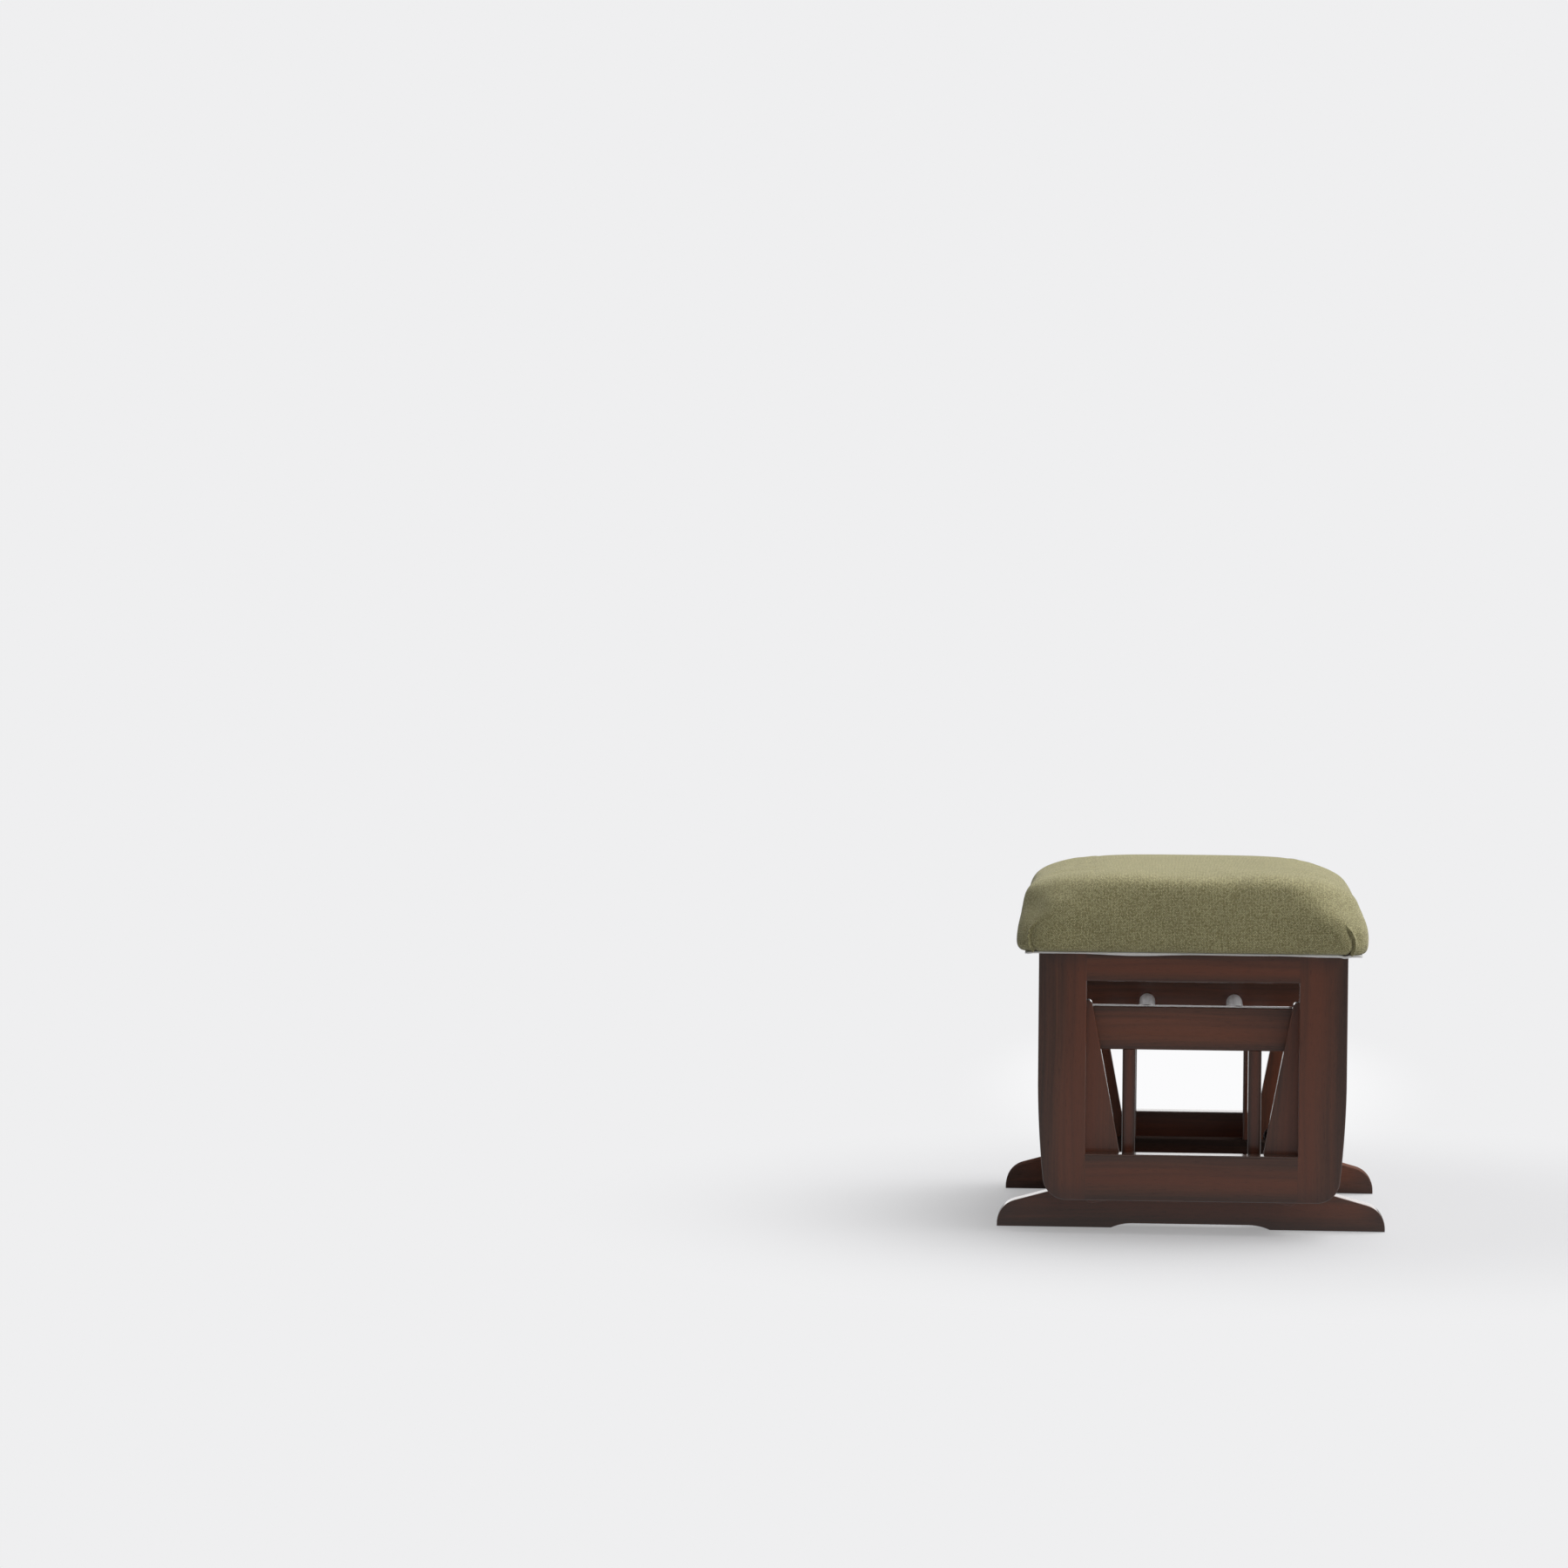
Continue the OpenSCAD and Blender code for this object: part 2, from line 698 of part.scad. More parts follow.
shoulder_levels = [for (i = [0 : shoulder_steps]) let (a = 90 * i / shoulder_steps)
    [shoulder_in * (1 - pow(cos(a), 2 / shoulder_power)),
    belly_z + (shoulder_z - belly_z) * pow(sin(a), 2 / shoulder_power),
    cushion_corner_r * (1 + corner_grow_share * sin(a)), side_draw * sin(2 * a)]];

crown_levels = [for (share = crown_shares)
    [shoulder_in + (1 - share) * (cushion_l / 2 - shoulder_in), shoulder_z + crown_rise * (1 - share * share),
    cushion_corner_r * (1 + corner_grow_share) * share, 0]];

levels = concat(under_levels, shoulder_levels, crown_levels);

// A quarter of the outline: half of one side, the corner and half of the next side
function bow(share) = 1 - share * share;

function corner_quarter(hx, hy, r, draw) = concat(
    [for (i = [0 : side_steps / 2 - 1]) let (share = i / (side_steps / 2))
        [hx - draw * bow(share), (hy - r) * share]],
    [for (i = [0 : corner_steps]) let (a = 90 * i / corner_steps)
        [hx - r + r * cos(a), hy - r + r * sin(a)]],
    [for (i = [1 : side_steps / 2 - 1]) let (share = 1 - i / (side_steps / 2))
        [(hx - r) * share, hy - draw * bow(share)]]);

// The quarter turned to each corner; every second one swaps its sides
function turned(p, k) = k == 0 ? p : k == 1 ? [-p[1], p[0]] : k == 2 ? [-p[0], -p[1]] : [p[1], -p[0]];

function outline(level) = let (hx = cushion_l / 2 - level[0],
    hy = cushion_w / 2 - level[0] * spread(level[0]))
    [for (k = [0 : 3]) each [for (p = k % 2 == 0 ? corner_quarter(hx, hy, level[2], level[3])
        : corner_quarter(hy, hx, level[2], level[3])) concat(turned(p, k), level[1])]];

// Past the shoulder the long sides close in faster, so that both meet at the middle
function spread(in) = in <= shoulder_in ? 1
    : (shoulder_in + (in - shoulder_in) * (cushion_w / 2 - shoulder_in) / (cushion_l / 2 - shoulder_in)) / in;

module cushion_form() {
    per_level = 4 * (corner_steps + side_steps);
    last = len(levels) - 1;
    points = concat([for (level = levels) each outline(level)],
        [[0, 0, cushion_low], [0, 0, shoulder_z + crown_rise]]);
    low_mid = len(points) - 2;
    high_mid = len(points) - 1;
    sides = [for (k = [0 : last - 1], i = [0 : per_level - 1]) let (j = (i + 1) % per_level)
        [k * per_level + i, (k + 1) * per_level + i, (k + 1) * per_level + j, k * per_level + j]];
    halves = [for (f = sides) each [[f[0], f[1], f[2]], [f[0], f[2], f[3]]]];
    base = [for (i = [0 : per_level - 1]) [i, (i + 1) % per_level, low_mid]];
    top = [for (i = [0 : per_level - 1])
        [last * per_level + i, high_mid, last * per_level + (i + 1) % per_level]];
    polyhedron(points, concat(halves, base, top));
}

module cushion() {
    color([0.47, 0.46, 0.33]) difference() {
        cushion_form();
        cushion_slab(board_in, cushion_low - over, board_top);
        cushion_slab(foam_in, cushion_low, foam_top);
    }
}

foot("near");  // foot_near
foot("far");  // foot_far
post("near", "left");  // post_near_left
post("near", "right");  // post_near_right
post("far", "left");  // post_far_left
post("far", "right");  // post_far_right
base_rail("near");  // base_rail_near
base_rail("far");  // base_rail_far
cross_tube("left");  // cross_tube_left
cross_tube("right");  // cross_tube_right
tube_screws();
stretcher("left");  // stretcher_left
stretcher("right");  // stretcher_right
stretcher_bolts();
barrel_nuts();
stretcher_dowels();
upper_pivot_bolts();
upper_inserts();
upper_spacers();
arm("near", "left");  // arm_near_left
arm("near", "right");  // arm_near_right
arm("far", "left");  // arm_far_left
arm("far", "right");  // arm_far_right
bearings("near", "left");  // bearings_near_left
bearings("near", "right");  // bearings_near_right
bearings("far", "left");  // bearings_far_left
bearings("far", "right");  // bearings_far_right
stile("near", "left");  // stile_near_left
stile("near", "right");  // stile_near_right
stile("far", "left");  // stile_far_left
stile("far", "right");  // stile_far_right
top_rail("near");  // top_rail_near
top_rail("far");  // top_rail_far
bottom_rail("near");  // bottom_rail_near
bottom_rail("far");  // bottom_rail_far
frame_dowels();
cross_rail("left");  // cross_rail_left
cross_rail("right");  // cross_rail_right
cross_rail_dowels();
lower_pivot_bolts();
lower_inserts();
lower_spacers();
cushion_screws();
lining();
cushion_board();
foam_block();
cushion();
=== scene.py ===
"""The looks of the glider ottoman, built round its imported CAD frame.

Boards are rounded copies of the CAD boards, metal parts are softened copies,
the cushion is swollen with cloth and pleated, and every surface is procedural.
"""
import json
import math

import bmesh
import bpy
import numpy as np
from bpy.props import FloatProperty, FloatVectorProperty, IntProperty, PointerProperty
from mathutils import Matrix, Vector, noise

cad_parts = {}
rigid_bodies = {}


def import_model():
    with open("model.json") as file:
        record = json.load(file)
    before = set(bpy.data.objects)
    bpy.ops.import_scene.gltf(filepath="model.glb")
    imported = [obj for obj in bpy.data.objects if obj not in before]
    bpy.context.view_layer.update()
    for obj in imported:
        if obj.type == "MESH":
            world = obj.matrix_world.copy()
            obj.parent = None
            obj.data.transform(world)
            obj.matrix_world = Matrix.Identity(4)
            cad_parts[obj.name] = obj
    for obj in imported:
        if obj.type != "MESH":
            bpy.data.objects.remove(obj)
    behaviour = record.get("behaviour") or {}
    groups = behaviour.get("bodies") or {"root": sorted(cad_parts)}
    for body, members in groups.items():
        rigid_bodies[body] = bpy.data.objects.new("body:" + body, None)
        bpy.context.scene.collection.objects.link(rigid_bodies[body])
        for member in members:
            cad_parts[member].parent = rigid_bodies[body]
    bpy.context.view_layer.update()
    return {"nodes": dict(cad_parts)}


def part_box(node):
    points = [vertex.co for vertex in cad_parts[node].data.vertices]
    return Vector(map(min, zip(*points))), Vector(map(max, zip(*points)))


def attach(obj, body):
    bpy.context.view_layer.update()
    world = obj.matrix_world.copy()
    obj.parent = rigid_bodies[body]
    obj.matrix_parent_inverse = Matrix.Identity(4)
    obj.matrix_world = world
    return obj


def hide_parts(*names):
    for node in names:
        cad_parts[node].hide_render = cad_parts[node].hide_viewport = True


bl_info = {
    "name": "Glider ottoman looks",
    "version": (1, 0, 0),
    "blender": (4, 5, 0),
    "location": "3D View > Sidebar > Ottoman",
    "description": "Dresses the glider ottoman's CAD frame in wood, steel and cloth",
    "category": "Object",
}

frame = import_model()
MM = 0.001
MERGE_GAP = 0.01 * MM
FLAT_ANGLE = math.radians(0.5)
SHARP_ANGLE = math.radians(30)
CREASE_ANGLE = math.radians(35)


def tone(red, green, blue):
    """A screen colour, 0 to 255, as the linear colour that a property holds."""
    values = []
    for part in (red, green, blue):
        level = part / 255
        values.append(level / 12.92 if level <= 0.04045
                      else ((level + 0.055) / 1.055) ** 2.4)
    return (*values, 1.0)


def length(name, description, default):
    """A length in metres, given in millimetres."""
    return FloatProperty(name=name, description=description, default=default * MM,
                         min=0, precision=5, unit="LENGTH")


def share(name, description, default, most=1.0):
    """A plain share or strength."""
    return FloatProperty(name=name, description=description, default=default,
                         min=0, max=most)


def angle(name, description, default):
    """An angle, given in degrees."""
    return FloatProperty(name=name, description=description,
                         default=math.radians(default), unit="ROTATION",
                         subtype="ANGLE")


def colour(name, description, default):
    """A colour, given as it shows on a screen."""
    return FloatVectorProperty(name=name, description=description, size=4,
                               subtype="COLOR", min=0, max=1, default=tone(*default))


def position(name, description, default, unit="LENGTH"):
    """A place or a direction, as many numbers as its default has."""
    return FloatVectorProperty(name=name, description=description, size=len(default),
                               default=default, unit=unit)


class OttomanWood(bpy.types.PropertyGroup):
    """Sizes and colours of the stained boards."""

    frame_round: length("Side frame round-over", "Radius of the side frames' edges", 2)
    base_round: length("Base round-over", "Radius of the feet's and rails' edges", 1.6)
    arm_round: length("Arm round-over", "Radius of the arms' edges", 1.3)
    post_round: length("Post round-over", "Radius of the posts' edges", 2.5)
    hidden_round: length("Hidden board round-over", "Radius of inner boards' edges", 1.5)
    widest_hole: length("Widest hole", "Rims up to this size keep their edge", 32)
    light: colour("Stain, light", "Colour between the grain's streaks", (103, 59, 38))
    dark: colour("Stain, dark", "Colour of the grain's streaks", (77, 46, 31))
    red: colour("Stain, red", "Colour of the warm figure in mid board", (120, 61, 34))
    # The edge colour is what each board darkens to towards its edges and ends.
    edge: colour("Stain, edge", "Colour where the stain is built up", (63, 43, 35))
    beech: colour("Dowel wood", "Colour of the unstained dowels", (196, 158, 112))
    ply: colour("Plywood", "Colour of the plywood's face", (190, 152, 104))
    roughness: share("Stain roughness", "Roughness of the stain under the lacquer", 0.36)
    coat: share("Lacquer roughness", "Roughness of the satin lacquer", 0.09)


class OttomanMetal(bpy.types.PropertyGroup):
    """Colours of the metal parts."""

    rim: length("Rim break", "Radius on the metal parts' rims", 0.3)
    tube: colour("Tube", "Colour of the satin steel tubes", (250, 250, 251))
    bolt: colour("Bolt", "Colour of the blackened bolts", (44, 43, 44))
    zinc: colour("Zinc", "Colour of the zinc plated parts", (176, 178, 180))
    brass: colour("Brass", "Colour of the threaded inserts", (190, 156, 92))
    bearing: colour("Bearing steel", "Colour of the bearing rings", (168, 169, 172))
    seal: colour("Bearing seal", "Colour of the rubber seals", (30, 30, 32))


class OttomanCushion(bpy.types.PropertyGroup):
    """Shape and cloth of the cushion."""

    start_inset: length("Start inset", "How much smaller the form starts", 5)
    swell_cap: length("Swell cap", "Furthest that the cloth may move", 7)
    slip_cap: length("Slip cap", "Furthest that the cloth may slide sideways", 2)
    voxel: length("Voxel", "Cell of the remeshed form", 5)
    pressure: share("Pressure", "Air pressure that swells the cloth", 0.6, 20)
    frames: IntProperty(name="Frames", description="Steps of the cloth simulation",
                        default=20, min=2)
    pleat_lift: length("Pleat lift", "How far a corner pleat's lip stands out", 2.3)
    pleat_groove: length("Pleat groove", "Depth of the crease beside the lip", 4.2)
    hem_wave: length("Hem wave", "Waves along the lower edge between staples", 0.8)
    pitch: length("Weave pitch", "Distance between two yarns", 1.3)
    light: colour("Light yarn", "Colour of the lightest yarns", (224, 216, 164))
    mid: colour("Yarn", "Colour of most yarns", (155, 147, 97))
    dark: colour("Dark yarn", "Colour in the gaps", (38, 35, 19))
    sheen: share("Sheen", "Strength of the fuzz that lightens grazing views", 0.32)


class OttomanLining(bpy.types.PropertyGroup):
    """The white lining under the cushion, and its staples."""

    thickness: length("Thickness", "Thickness of the lining", 0.7)
    lip: length("Lip", "Width of the edge that turns down over the frame", 2.6)
    wave: length("Wave", "Height of the waves along its edge", 0.7)
    white: colour("Lining", "Colour of the lining", (252, 251, 249))
    staple_step: length("Staple step", "Distance between two staples", 42)


class OttomanStage(bpy.types.PropertyGroup):
    """Camera, floor and light."""

    camera_place: position("Camera place", "Where the camera stands",
                           (-0.0381, -5.8551, 0.7498))
    yaw: angle("Yaw", "Turn of the view from straight ahead", -4.101)
    pitch: angle("Pitch", "Tilt of the view above level", -2.726)
    roll: angle("Roll", "Turn of the camera about the view", 0.389)
    lens: FloatProperty(name="Lens", description="Focal length in millimetres",
                        default=120.39, min=1)
    floor_radius: length("Floor radius", "How far the floor reaches", 3000)
    pale: colour("Backdrop", "Colour of the backdrop and of the far floor",
                 (239, 239, 240))
    # A painted pool of light: the far floor behind the window is paler there, though no lamp
    # lights it.
    bright: colour("Bright floor", "Colour of the far floor behind the window",
                   (251, 251, 252))
    floor: colour("Floor", "Colour of the floor near the feet", (206, 206, 208))
    floor_cast: colour("Floor's cast", "Colour that the floor casts back",
                       (176, 176, 178))
    painted_light_pool_place: position("Bright floor's place", "Middle of the bright floor",
                           (0.02, 1.4, 0))
    painted_light_pool_reach: position("Bright floor's reach", "Half of its width and of its depth",
                           (0.22, 0.7, 1))
    shadow_place: position("Shadow's place", "Middle of the floor that keeps the shadow",
                           (0.1, 0, 0))
    shadow_near: length("Shadow's core", "Where the shadow starts to fade", 250)
    shadow_far: length("Shadow's end", "Where the shadow has faded", 850)
    shadow_fade: share("Shadow's fade", "Share of the backdrop at the core", 0.35)
    shade_side: share("Shade side", "Level of the light from the left", 0.05, 2)
    light_side: share("Light side", "Level of the light from the right", 0.54, 2)
    front_gloss: share("Front gloss", "What polish sees behind the camera", 0.2)
    floor_gloss: share("Floor gloss", "What polish sees on the floor in front", 0.36)
    back_gloss: share("Back gloss", "What polish sees round the sides and back", 0.95)
    rear_gloss: share("Rear gloss", "What polish sees straight behind", 1.5, 3)
    sun: share("Overhead light", "Strength of the soft light from above", 2.85, 10)
    sun_size: angle("Overhead size", "Angle that the light from above fills", 60)
    sun_way: position("Overhead direction", "Where the light from above comes from",
                      (0.45, 0.32, 1), "NONE")


GROUPS = {"wood": OttomanWood, "metal": OttomanMetal, "cushion": OttomanCushion,
          "lining": OttomanLining, "stage": OttomanStage}


def settings(group):
    """The property group of that name, on the scene."""
    return getattr(bpy.context.scene, f"ottoman_{group}")


# Meshes and pieces

def cad_copy(node):
    """A closed copy of a CAD node's mesh with its flat faces joined."""
    made = bmesh.new()
    made.from_mesh(frame["nodes"][node].data)
    bmesh.ops.remove_doubles(made, verts=made.verts, dist=MERGE_GAP)
    bmesh.ops.dissolve_limit(made, angle_limit=FLAT_ANGLE, verts=made.verts,
                             edges=made.edges)
    return made


def sharp_edges(made):
    """The mesh's edges where two faces meet at more than the sharp angle."""
    return [edge for edge in made.edges
            if len(edge.link_faces) == 2 and edge.calc_face_angle() > SHARP_ANGLE]


def outline_edges(made, widest_hole):
    """Sharp edges, without those of rims that are no wider than widest_hole."""
    waiting = set(sharp_edges(made))
    kept = []
    while waiting:
        chain = [waiting.pop()]
        for edge in chain:
            near = {other for vert in edge.verts for other in vert.link_edges}
            joined = near & waiting
            waiting -= joined
            chain.extend(joined)
        points = [vert.co for edge in chain for vert in edge.verts]
        reach = max(max(p[i] for p in points) - min(p[i] for p in points)
                    for i in range(3))
        if reach > widest_hole:
            kept.extend(chain)
    return kept


def along(edge, axis, least=0.1):
    """Whether the edge runs along that axis for at least so many metres."""
    way = edge.verts[1].co - edge.verts[0].co
    return abs(way["XYZ".index(axis)]) > least


def in_face(edge):
    """Whether the edge lies in a board's broad face, which looks along Y."""
    return abs(edge.verts[1].co.y - edge.verts[0].co.y) < MERGE_GAP


def round_over(made, edges, radius, segments=4, clamp=False):
    """Rounds the chosen edges as a router bit does."""
    bmesh.ops.bevel(made, geom=edges, offset=radius, offset_type="OFFSET",
                    segments=segments, profile=0.5, affect="EDGES",
                    clamp_overlap=clamp, material=-1)


def finished_piece(made, name, weighted=True):
    """Turns the bmesh into a smooth shaded piece with crisp corners."""
    bmesh.ops.recalc_face_normals(made, faces=made.faces)
    mesh = bpy.data.meshes.new(name)
    made.to_mesh(mesh)
    made.free()
    mesh.polygons.foreach_set("use_smooth", [True] * len(mesh.polygons))
    mesh.set_sharp_from_angle(angle=CREASE_ANGLE)
    piece = bpy.data.objects.new(name, mesh)
    bpy.context.collection.objects.link(piece)
    if weighted:
        normals = piece.modifiers.new("Weighted normals", "WEIGHTED_NORMAL")
        normals.keep_sharp = True
        normals.weight = 100
    return piece


def body_of(node):
    """The name of the CAD body that a node rides on."""
    return frame["nodes"][node].parent.name.split(":")[1]


def stand_in(piece, node, material):
    """The piece shows in place of the node, on the node's body and with the given finish."""
    piece.data.materials.clear()
    piece.data.materials.append(material)
    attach(piece, body_of(node))
    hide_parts(node)
    return piece


def board_turn(axis, lean=0.0):
    """The turn that lays a board's grain along Z and its thickness along Y."""
    turns = {"X": (0, -math.pi / 2, 0), "Y": (math.pi / 2, 0, 0), "Z": (0, -lean, 0)}
    return turns[axis]


# Shader nodes

class Shader:
    """Short ways to add and join nodes in one tree."""

    def __init__(self, tree):
        self.tree = tree

    def add(self, kind, **values):
        """A node of that kind with these settings."""
        node = self.tree.nodes.new(kind)
        for key, value in values.items():
            setattr(node, key, value)
        return node

    def put(self, socket, value):
        """Links the value where it is a socket, and sets it where it is not."""
        if isinstance(value, bpy.types.NodeSocket):
            self.tree.links.new(value, socket)
        elif value is not None:
            socket.default_value = value

    def math(self, operation, first, second=None, third=None, clamp=False):
        """A Math node's result."""
        node = self.add("ShaderNodeMath", operation=operation, use_clamp=clamp)
        for socket, value in zip(node.inputs, (first, second, third)):
            self.put(socket, value)
        return node.outputs[0]

    def times(self, first, second):
        """The product of two values."""
        return self.math("MULTIPLY", first, second)

    def vector(self, operation, first, second=None):
        """A Vector Math node's vector."""
        node = self.add("ShaderNodeVectorMath", operation=operation)
        self.put(node.inputs[0], first)
        self.put(node.inputs[1], second)
        return node.outputs["Vector"]

    def reach(self, vector):
        """The length of a vector."""
        node = self.add("ShaderNodeVectorMath", operation="LENGTH")
        self.put(node.inputs[0], vector)
        return node.outputs["Value"]

    def join(self, *parts):
        """A vector of those parts, and zero for the ones that are missing."""
        node = self.add("ShaderNodeCombineXYZ")
        for socket, value in zip(node.inputs, parts):
            self.put(socket, value)
        return node.outputs[0]

    def between(self, factor, first, second):
        """A mix of two values."""
        node = self.add("ShaderNodeMix", data_type="FLOAT")
        self.put(node.inputs[0], factor)
        self.put(node.inputs[2], first)
        self.put(node.inputs[3], second)
        return node.outputs[0]

    def blend(self, factor, first, second):
        """A mix of two shaders."""
        node = self.add("ShaderNodeMixShader")
        for socket, value in zip(node.inputs, (factor, first, second)):
            self.put(socket, value)
        return node.outputs[0]

    def mix(self, factor, first, second, blend="MIX"):
        """A mix of two colours."""
        node = self.add("ShaderNodeMix", data_type="RGBA", blend_type=blend)
        self.put(node.inputs["Factor"], factor)
        self.put(node.inputs[6], first)
        self.put(node.inputs[7], second)
        return node.outputs[2]

    def step(self, value, low, high, bottom=0.0, top=1.0):
        """A smooth step of the value from low to high."""
        node = self.add("ShaderNodeMapRange", interpolation_type="SMOOTHSTEP")
        for socket, part in zip(node.inputs, (value, low, high, bottom, top)):
            self.put(socket, part)
        return node.outputs[0]

    def noise(self, vector, scale, detail=2.0, roughness=0.5):
        """Noise from 0 to 1, with so many waves a metre along each axis."""
        node = self.add("ShaderNodeTexNoise")
        self.put(node.inputs["Vector"], self.vector("MULTIPLY", vector, scale))
        node.inputs["Scale"].default_value = 1
        node.inputs["Detail"].default_value = detail
        node.inputs["Roughness"].default_value = roughness
        return node.outputs["Fac"]

    def split(self, vector):
        """The three parts of a vector."""
        node = self.add("ShaderNodeSeparateXYZ")
        self.put(node.inputs[0], vector)
        return node.outputs

    def bump(self, height, strength, distance):
        """A normal from a height."""
        node = self.add("ShaderNodeBump")
        node.inputs["Strength"].default_value = strength
        node.inputs["Distance"].default_value = distance
        self.put(node.inputs["Height"], height)
        return node.outputs["Normal"]


def effect(name, inputs, outputs):
    """A new node group with these sockets, as its tree, inputs and output node."""
    tree = bpy.data.node_groups.new(name, "ShaderNodeTree")
    for label, kind in inputs:
        tree.interface.new_socket(label, in_out="INPUT", socket_type=f"NodeSocket{kind}")
    for label, kind in outputs:
        tree.interface.new_socket(label, in_out="OUTPUT", socket_type=f"NodeSocket{kind}")
    shader = Shader(tree)
    given = shader.add("NodeGroupInput").outputs
    result = shader.add("NodeGroupOutput").inputs
    return tree, shader, given, result


GRAIN_SWAY = 12 * MM
YARN_SWAY = 1.2 * MM
FOAM_CELLS = 700
FIBRE_DOTS = 450
# Colour of the painted shade that darkens a board's middle:
PAINTED_SHADE = tone(12, 9, 7)


def stained_wood():
    """The group for open grained wood under a brown stain, with painted shade over a board's
    middle where asked.
    """
    if "Stained wood" in bpy.data.node_groups:
        return bpy.data.node_groups["Stained wood"]
    tree, s, given, result = effect(
        "Stained wood",
        [("Vector", "Vector"), ("Half size", "Vector"), ("Light", "Color"),
         ("Dark", "Color"), ("Red", "Color"), ("Edge", "Color"),
         ("Edge strength", "Float"), ("Middle shade", "Float"), ("Gloss", "Float")],
        [("Color", "Color"), ("Roughness", "Float"), ("Height", "Float")])
    place = given["Vector"]
    bend = s.noise(place, (14, 14, 5), 1)
    sway = s.times(s.math("SUBTRACT", bend, 0.5), GRAIN_SWAY)
    grain = s.vector("ADD", place, s.join(sway))
    fine = s.noise(grain, (900, 900, 16), 3, 0.6)
    streak = s.noise(grain, (190, 190, 5), 3, 0.55)
    broad = s.noise(grain, (38, 38, 2.6), 2)
    pores = s.step(s.noise(grain, (2100, 2100, 90), 1), 0.62, 0.72)
    mixed = s.math("ADD", s.times(fine, 0.35),
                   s.times(streak, 0.65))
    body = s.mix(s.step(mixed, 0.34, 0.66), given["Dark"], given["Light"])
    side = s.split(s.vector("ABSOLUTE", s.vector("DIVIDE", place, given["Half size"])))
    centre = s.step(side[0], 0.95, 0.15)
    warm = s.times(s.step(broad, 0.36, 0.66), centre)
    body = s.mix(s.times(warm, 0.75), body, given["Red"])
    # rim darkens the stain towards the board's edges and ends.
    rim = s.math("MAXIMUM", s.step(side[0], 0.5, 1.02), s.step(side[2], 0.82, 1.02))
    rim = s.times(rim, s.step(s.noise(place, (25, 25, 9), 2), 0.2, 0.7, 0.6, 1))
    body = s.mix(s.times(rim, given["Edge strength"]), body, given["Edge"])
    # Painted shade darkens the middle of the board's length, where shade falls under the
    # cushion.
    middle = s.times(s.step(side[2], 0.7, 0.45), given["Middle shade"])
    body = s.mix(middle, body, PAINTED_SHADE)
    body = s.mix(s.times(pores, 0.35), body, given["Dark"], "MULTIPLY")
    s.put(result["Color"], body)
    s.put(result["Roughness"], s.math("ADD", given["Gloss"], s.times(fine, 0.14)))
    s.put(result["Height"], s.math("SUBTRACT", fine, pores))
    return tree


def plain_metal():
    """The group for drawn, plated or blackened metal."""
    if "Worked metal" in bpy.data.node_groups:
        return bpy.data.node_groups["Worked metal"]
    tree, s, given, result = effect(
        "Worked metal",
        [("Vector", "Vector"), ("Tone", "Color"), ("Draw", "Vector"),
         ("Gloss", "Float"), ("Stain", "Float")],
        [("Color", "Color"), ("Roughness", "Float"), ("Height", "Float")])
    lines = s.noise(given["Vector"], given["Draw"], 3, 0.6)
    cloud = s.noise(given["Vector"], (90, 90, 90), 3)
    dull = s.mix(1.0, given["Tone"], (0.55, 0.53, 0.5, 1), "MULTIPLY")
    spots = s.times(s.step(cloud, 0.5, 0.75), given["Stain"])
    s.put(result["Color"], s.mix(spots, given["Tone"], dull))
    uneven = s.times(s.math("SUBTRACT", lines, 0.4), 0.22)
    s.put(result["Roughness"], s.math("ADD", given["Gloss"], uneven))
    s.put(result["Height"], lines)
    return tree


def woven_yarns():
    """The group for a plain weave of slubby light and dark yarns."""
    tree, s, given, result = effect(
        "Woven yarns",
        [("Vector", "Vector"), ("Pitch", "Float"), ("Light", "Color"),
         ("Mid", "Color"), ("Dark", "Color")],
        [("Color", "Color"), ("Height", "Float")])
    drift = s.noise(given["Vector"], (45, 45, 1), 2)
    wobble = s.times(s.math("SUBTRACT", drift, 0.5), YARN_SWAY)
    parts = s.split(given["Vector"])
    across = s.math("DIVIDE", s.math("ADD", parts[0], wobble), given["Pitch"])
    down = s.math("DIVIDE", s.math("SUBTRACT", parts[1], wobble), given["Pitch"])
    cells = [s.math("FLOOR", across), s.math("FLOOR", down)]
    waves = [s.math("SINE", s.times(s.math("FRACT", value), math.pi))
             for value in (across, down)]
    over = s.math("MODULO", s.math("ABSOLUTE", s.math("ADD", *cells)), 2)
    heights = []
    for wide, far in (waves, waves[::-1]):
        crest = s.math("MULTIPLY_ADD", far, 0.5, 0.5)
        heights.append(s.times(s.math("POWER", wide, 0.7), crest))
    lift = s.between(over, heights[1], heights[0])
    spread = s.add("ShaderNodeTexWhiteNoise", noise_dimensions="2D")
    s.put(spread.inputs["Vector"], s.join(s.math("DIVIDE", cells[0], 2.0), cells[1]))
    slub = s.noise(given["Vector"], (1000, 1000, 1), 2, 0.6)
    uneven = s.math("ADD", s.times(spread.outputs["Value"], 0.8), slub)
    light = s.times(s.math("MULTIPLY_ADD", over, 0.7, 0.3), s.step(uneven, 0.5, 1.2))
    body = s.mix(light, given["Mid"], given["Light"])
    body = s.mix(s.step(lift, 0.05, 0.85), given["Dark"], body)
    haze = s.noise(given["Vector"], (22, 22, 1), 3)
    body = s.mix(s.step(haze, 0.35, 0.75, 0, 0.1), body, given["Dark"])
    fleck = s.noise(given["Vector"], (1000, 1000, 1), 1, 0.6)
    body = s.mix(s.step(fleck, 0.5, 0.72, 0, 0.45), body, given["Light"])
    body = s.mix(s.step(fleck, 0.5, 0.28, 0, 0.5), body, given["Dark"])
    s.put(result["Color"], body)
    s.put(result["Height"], lift)
    return tree


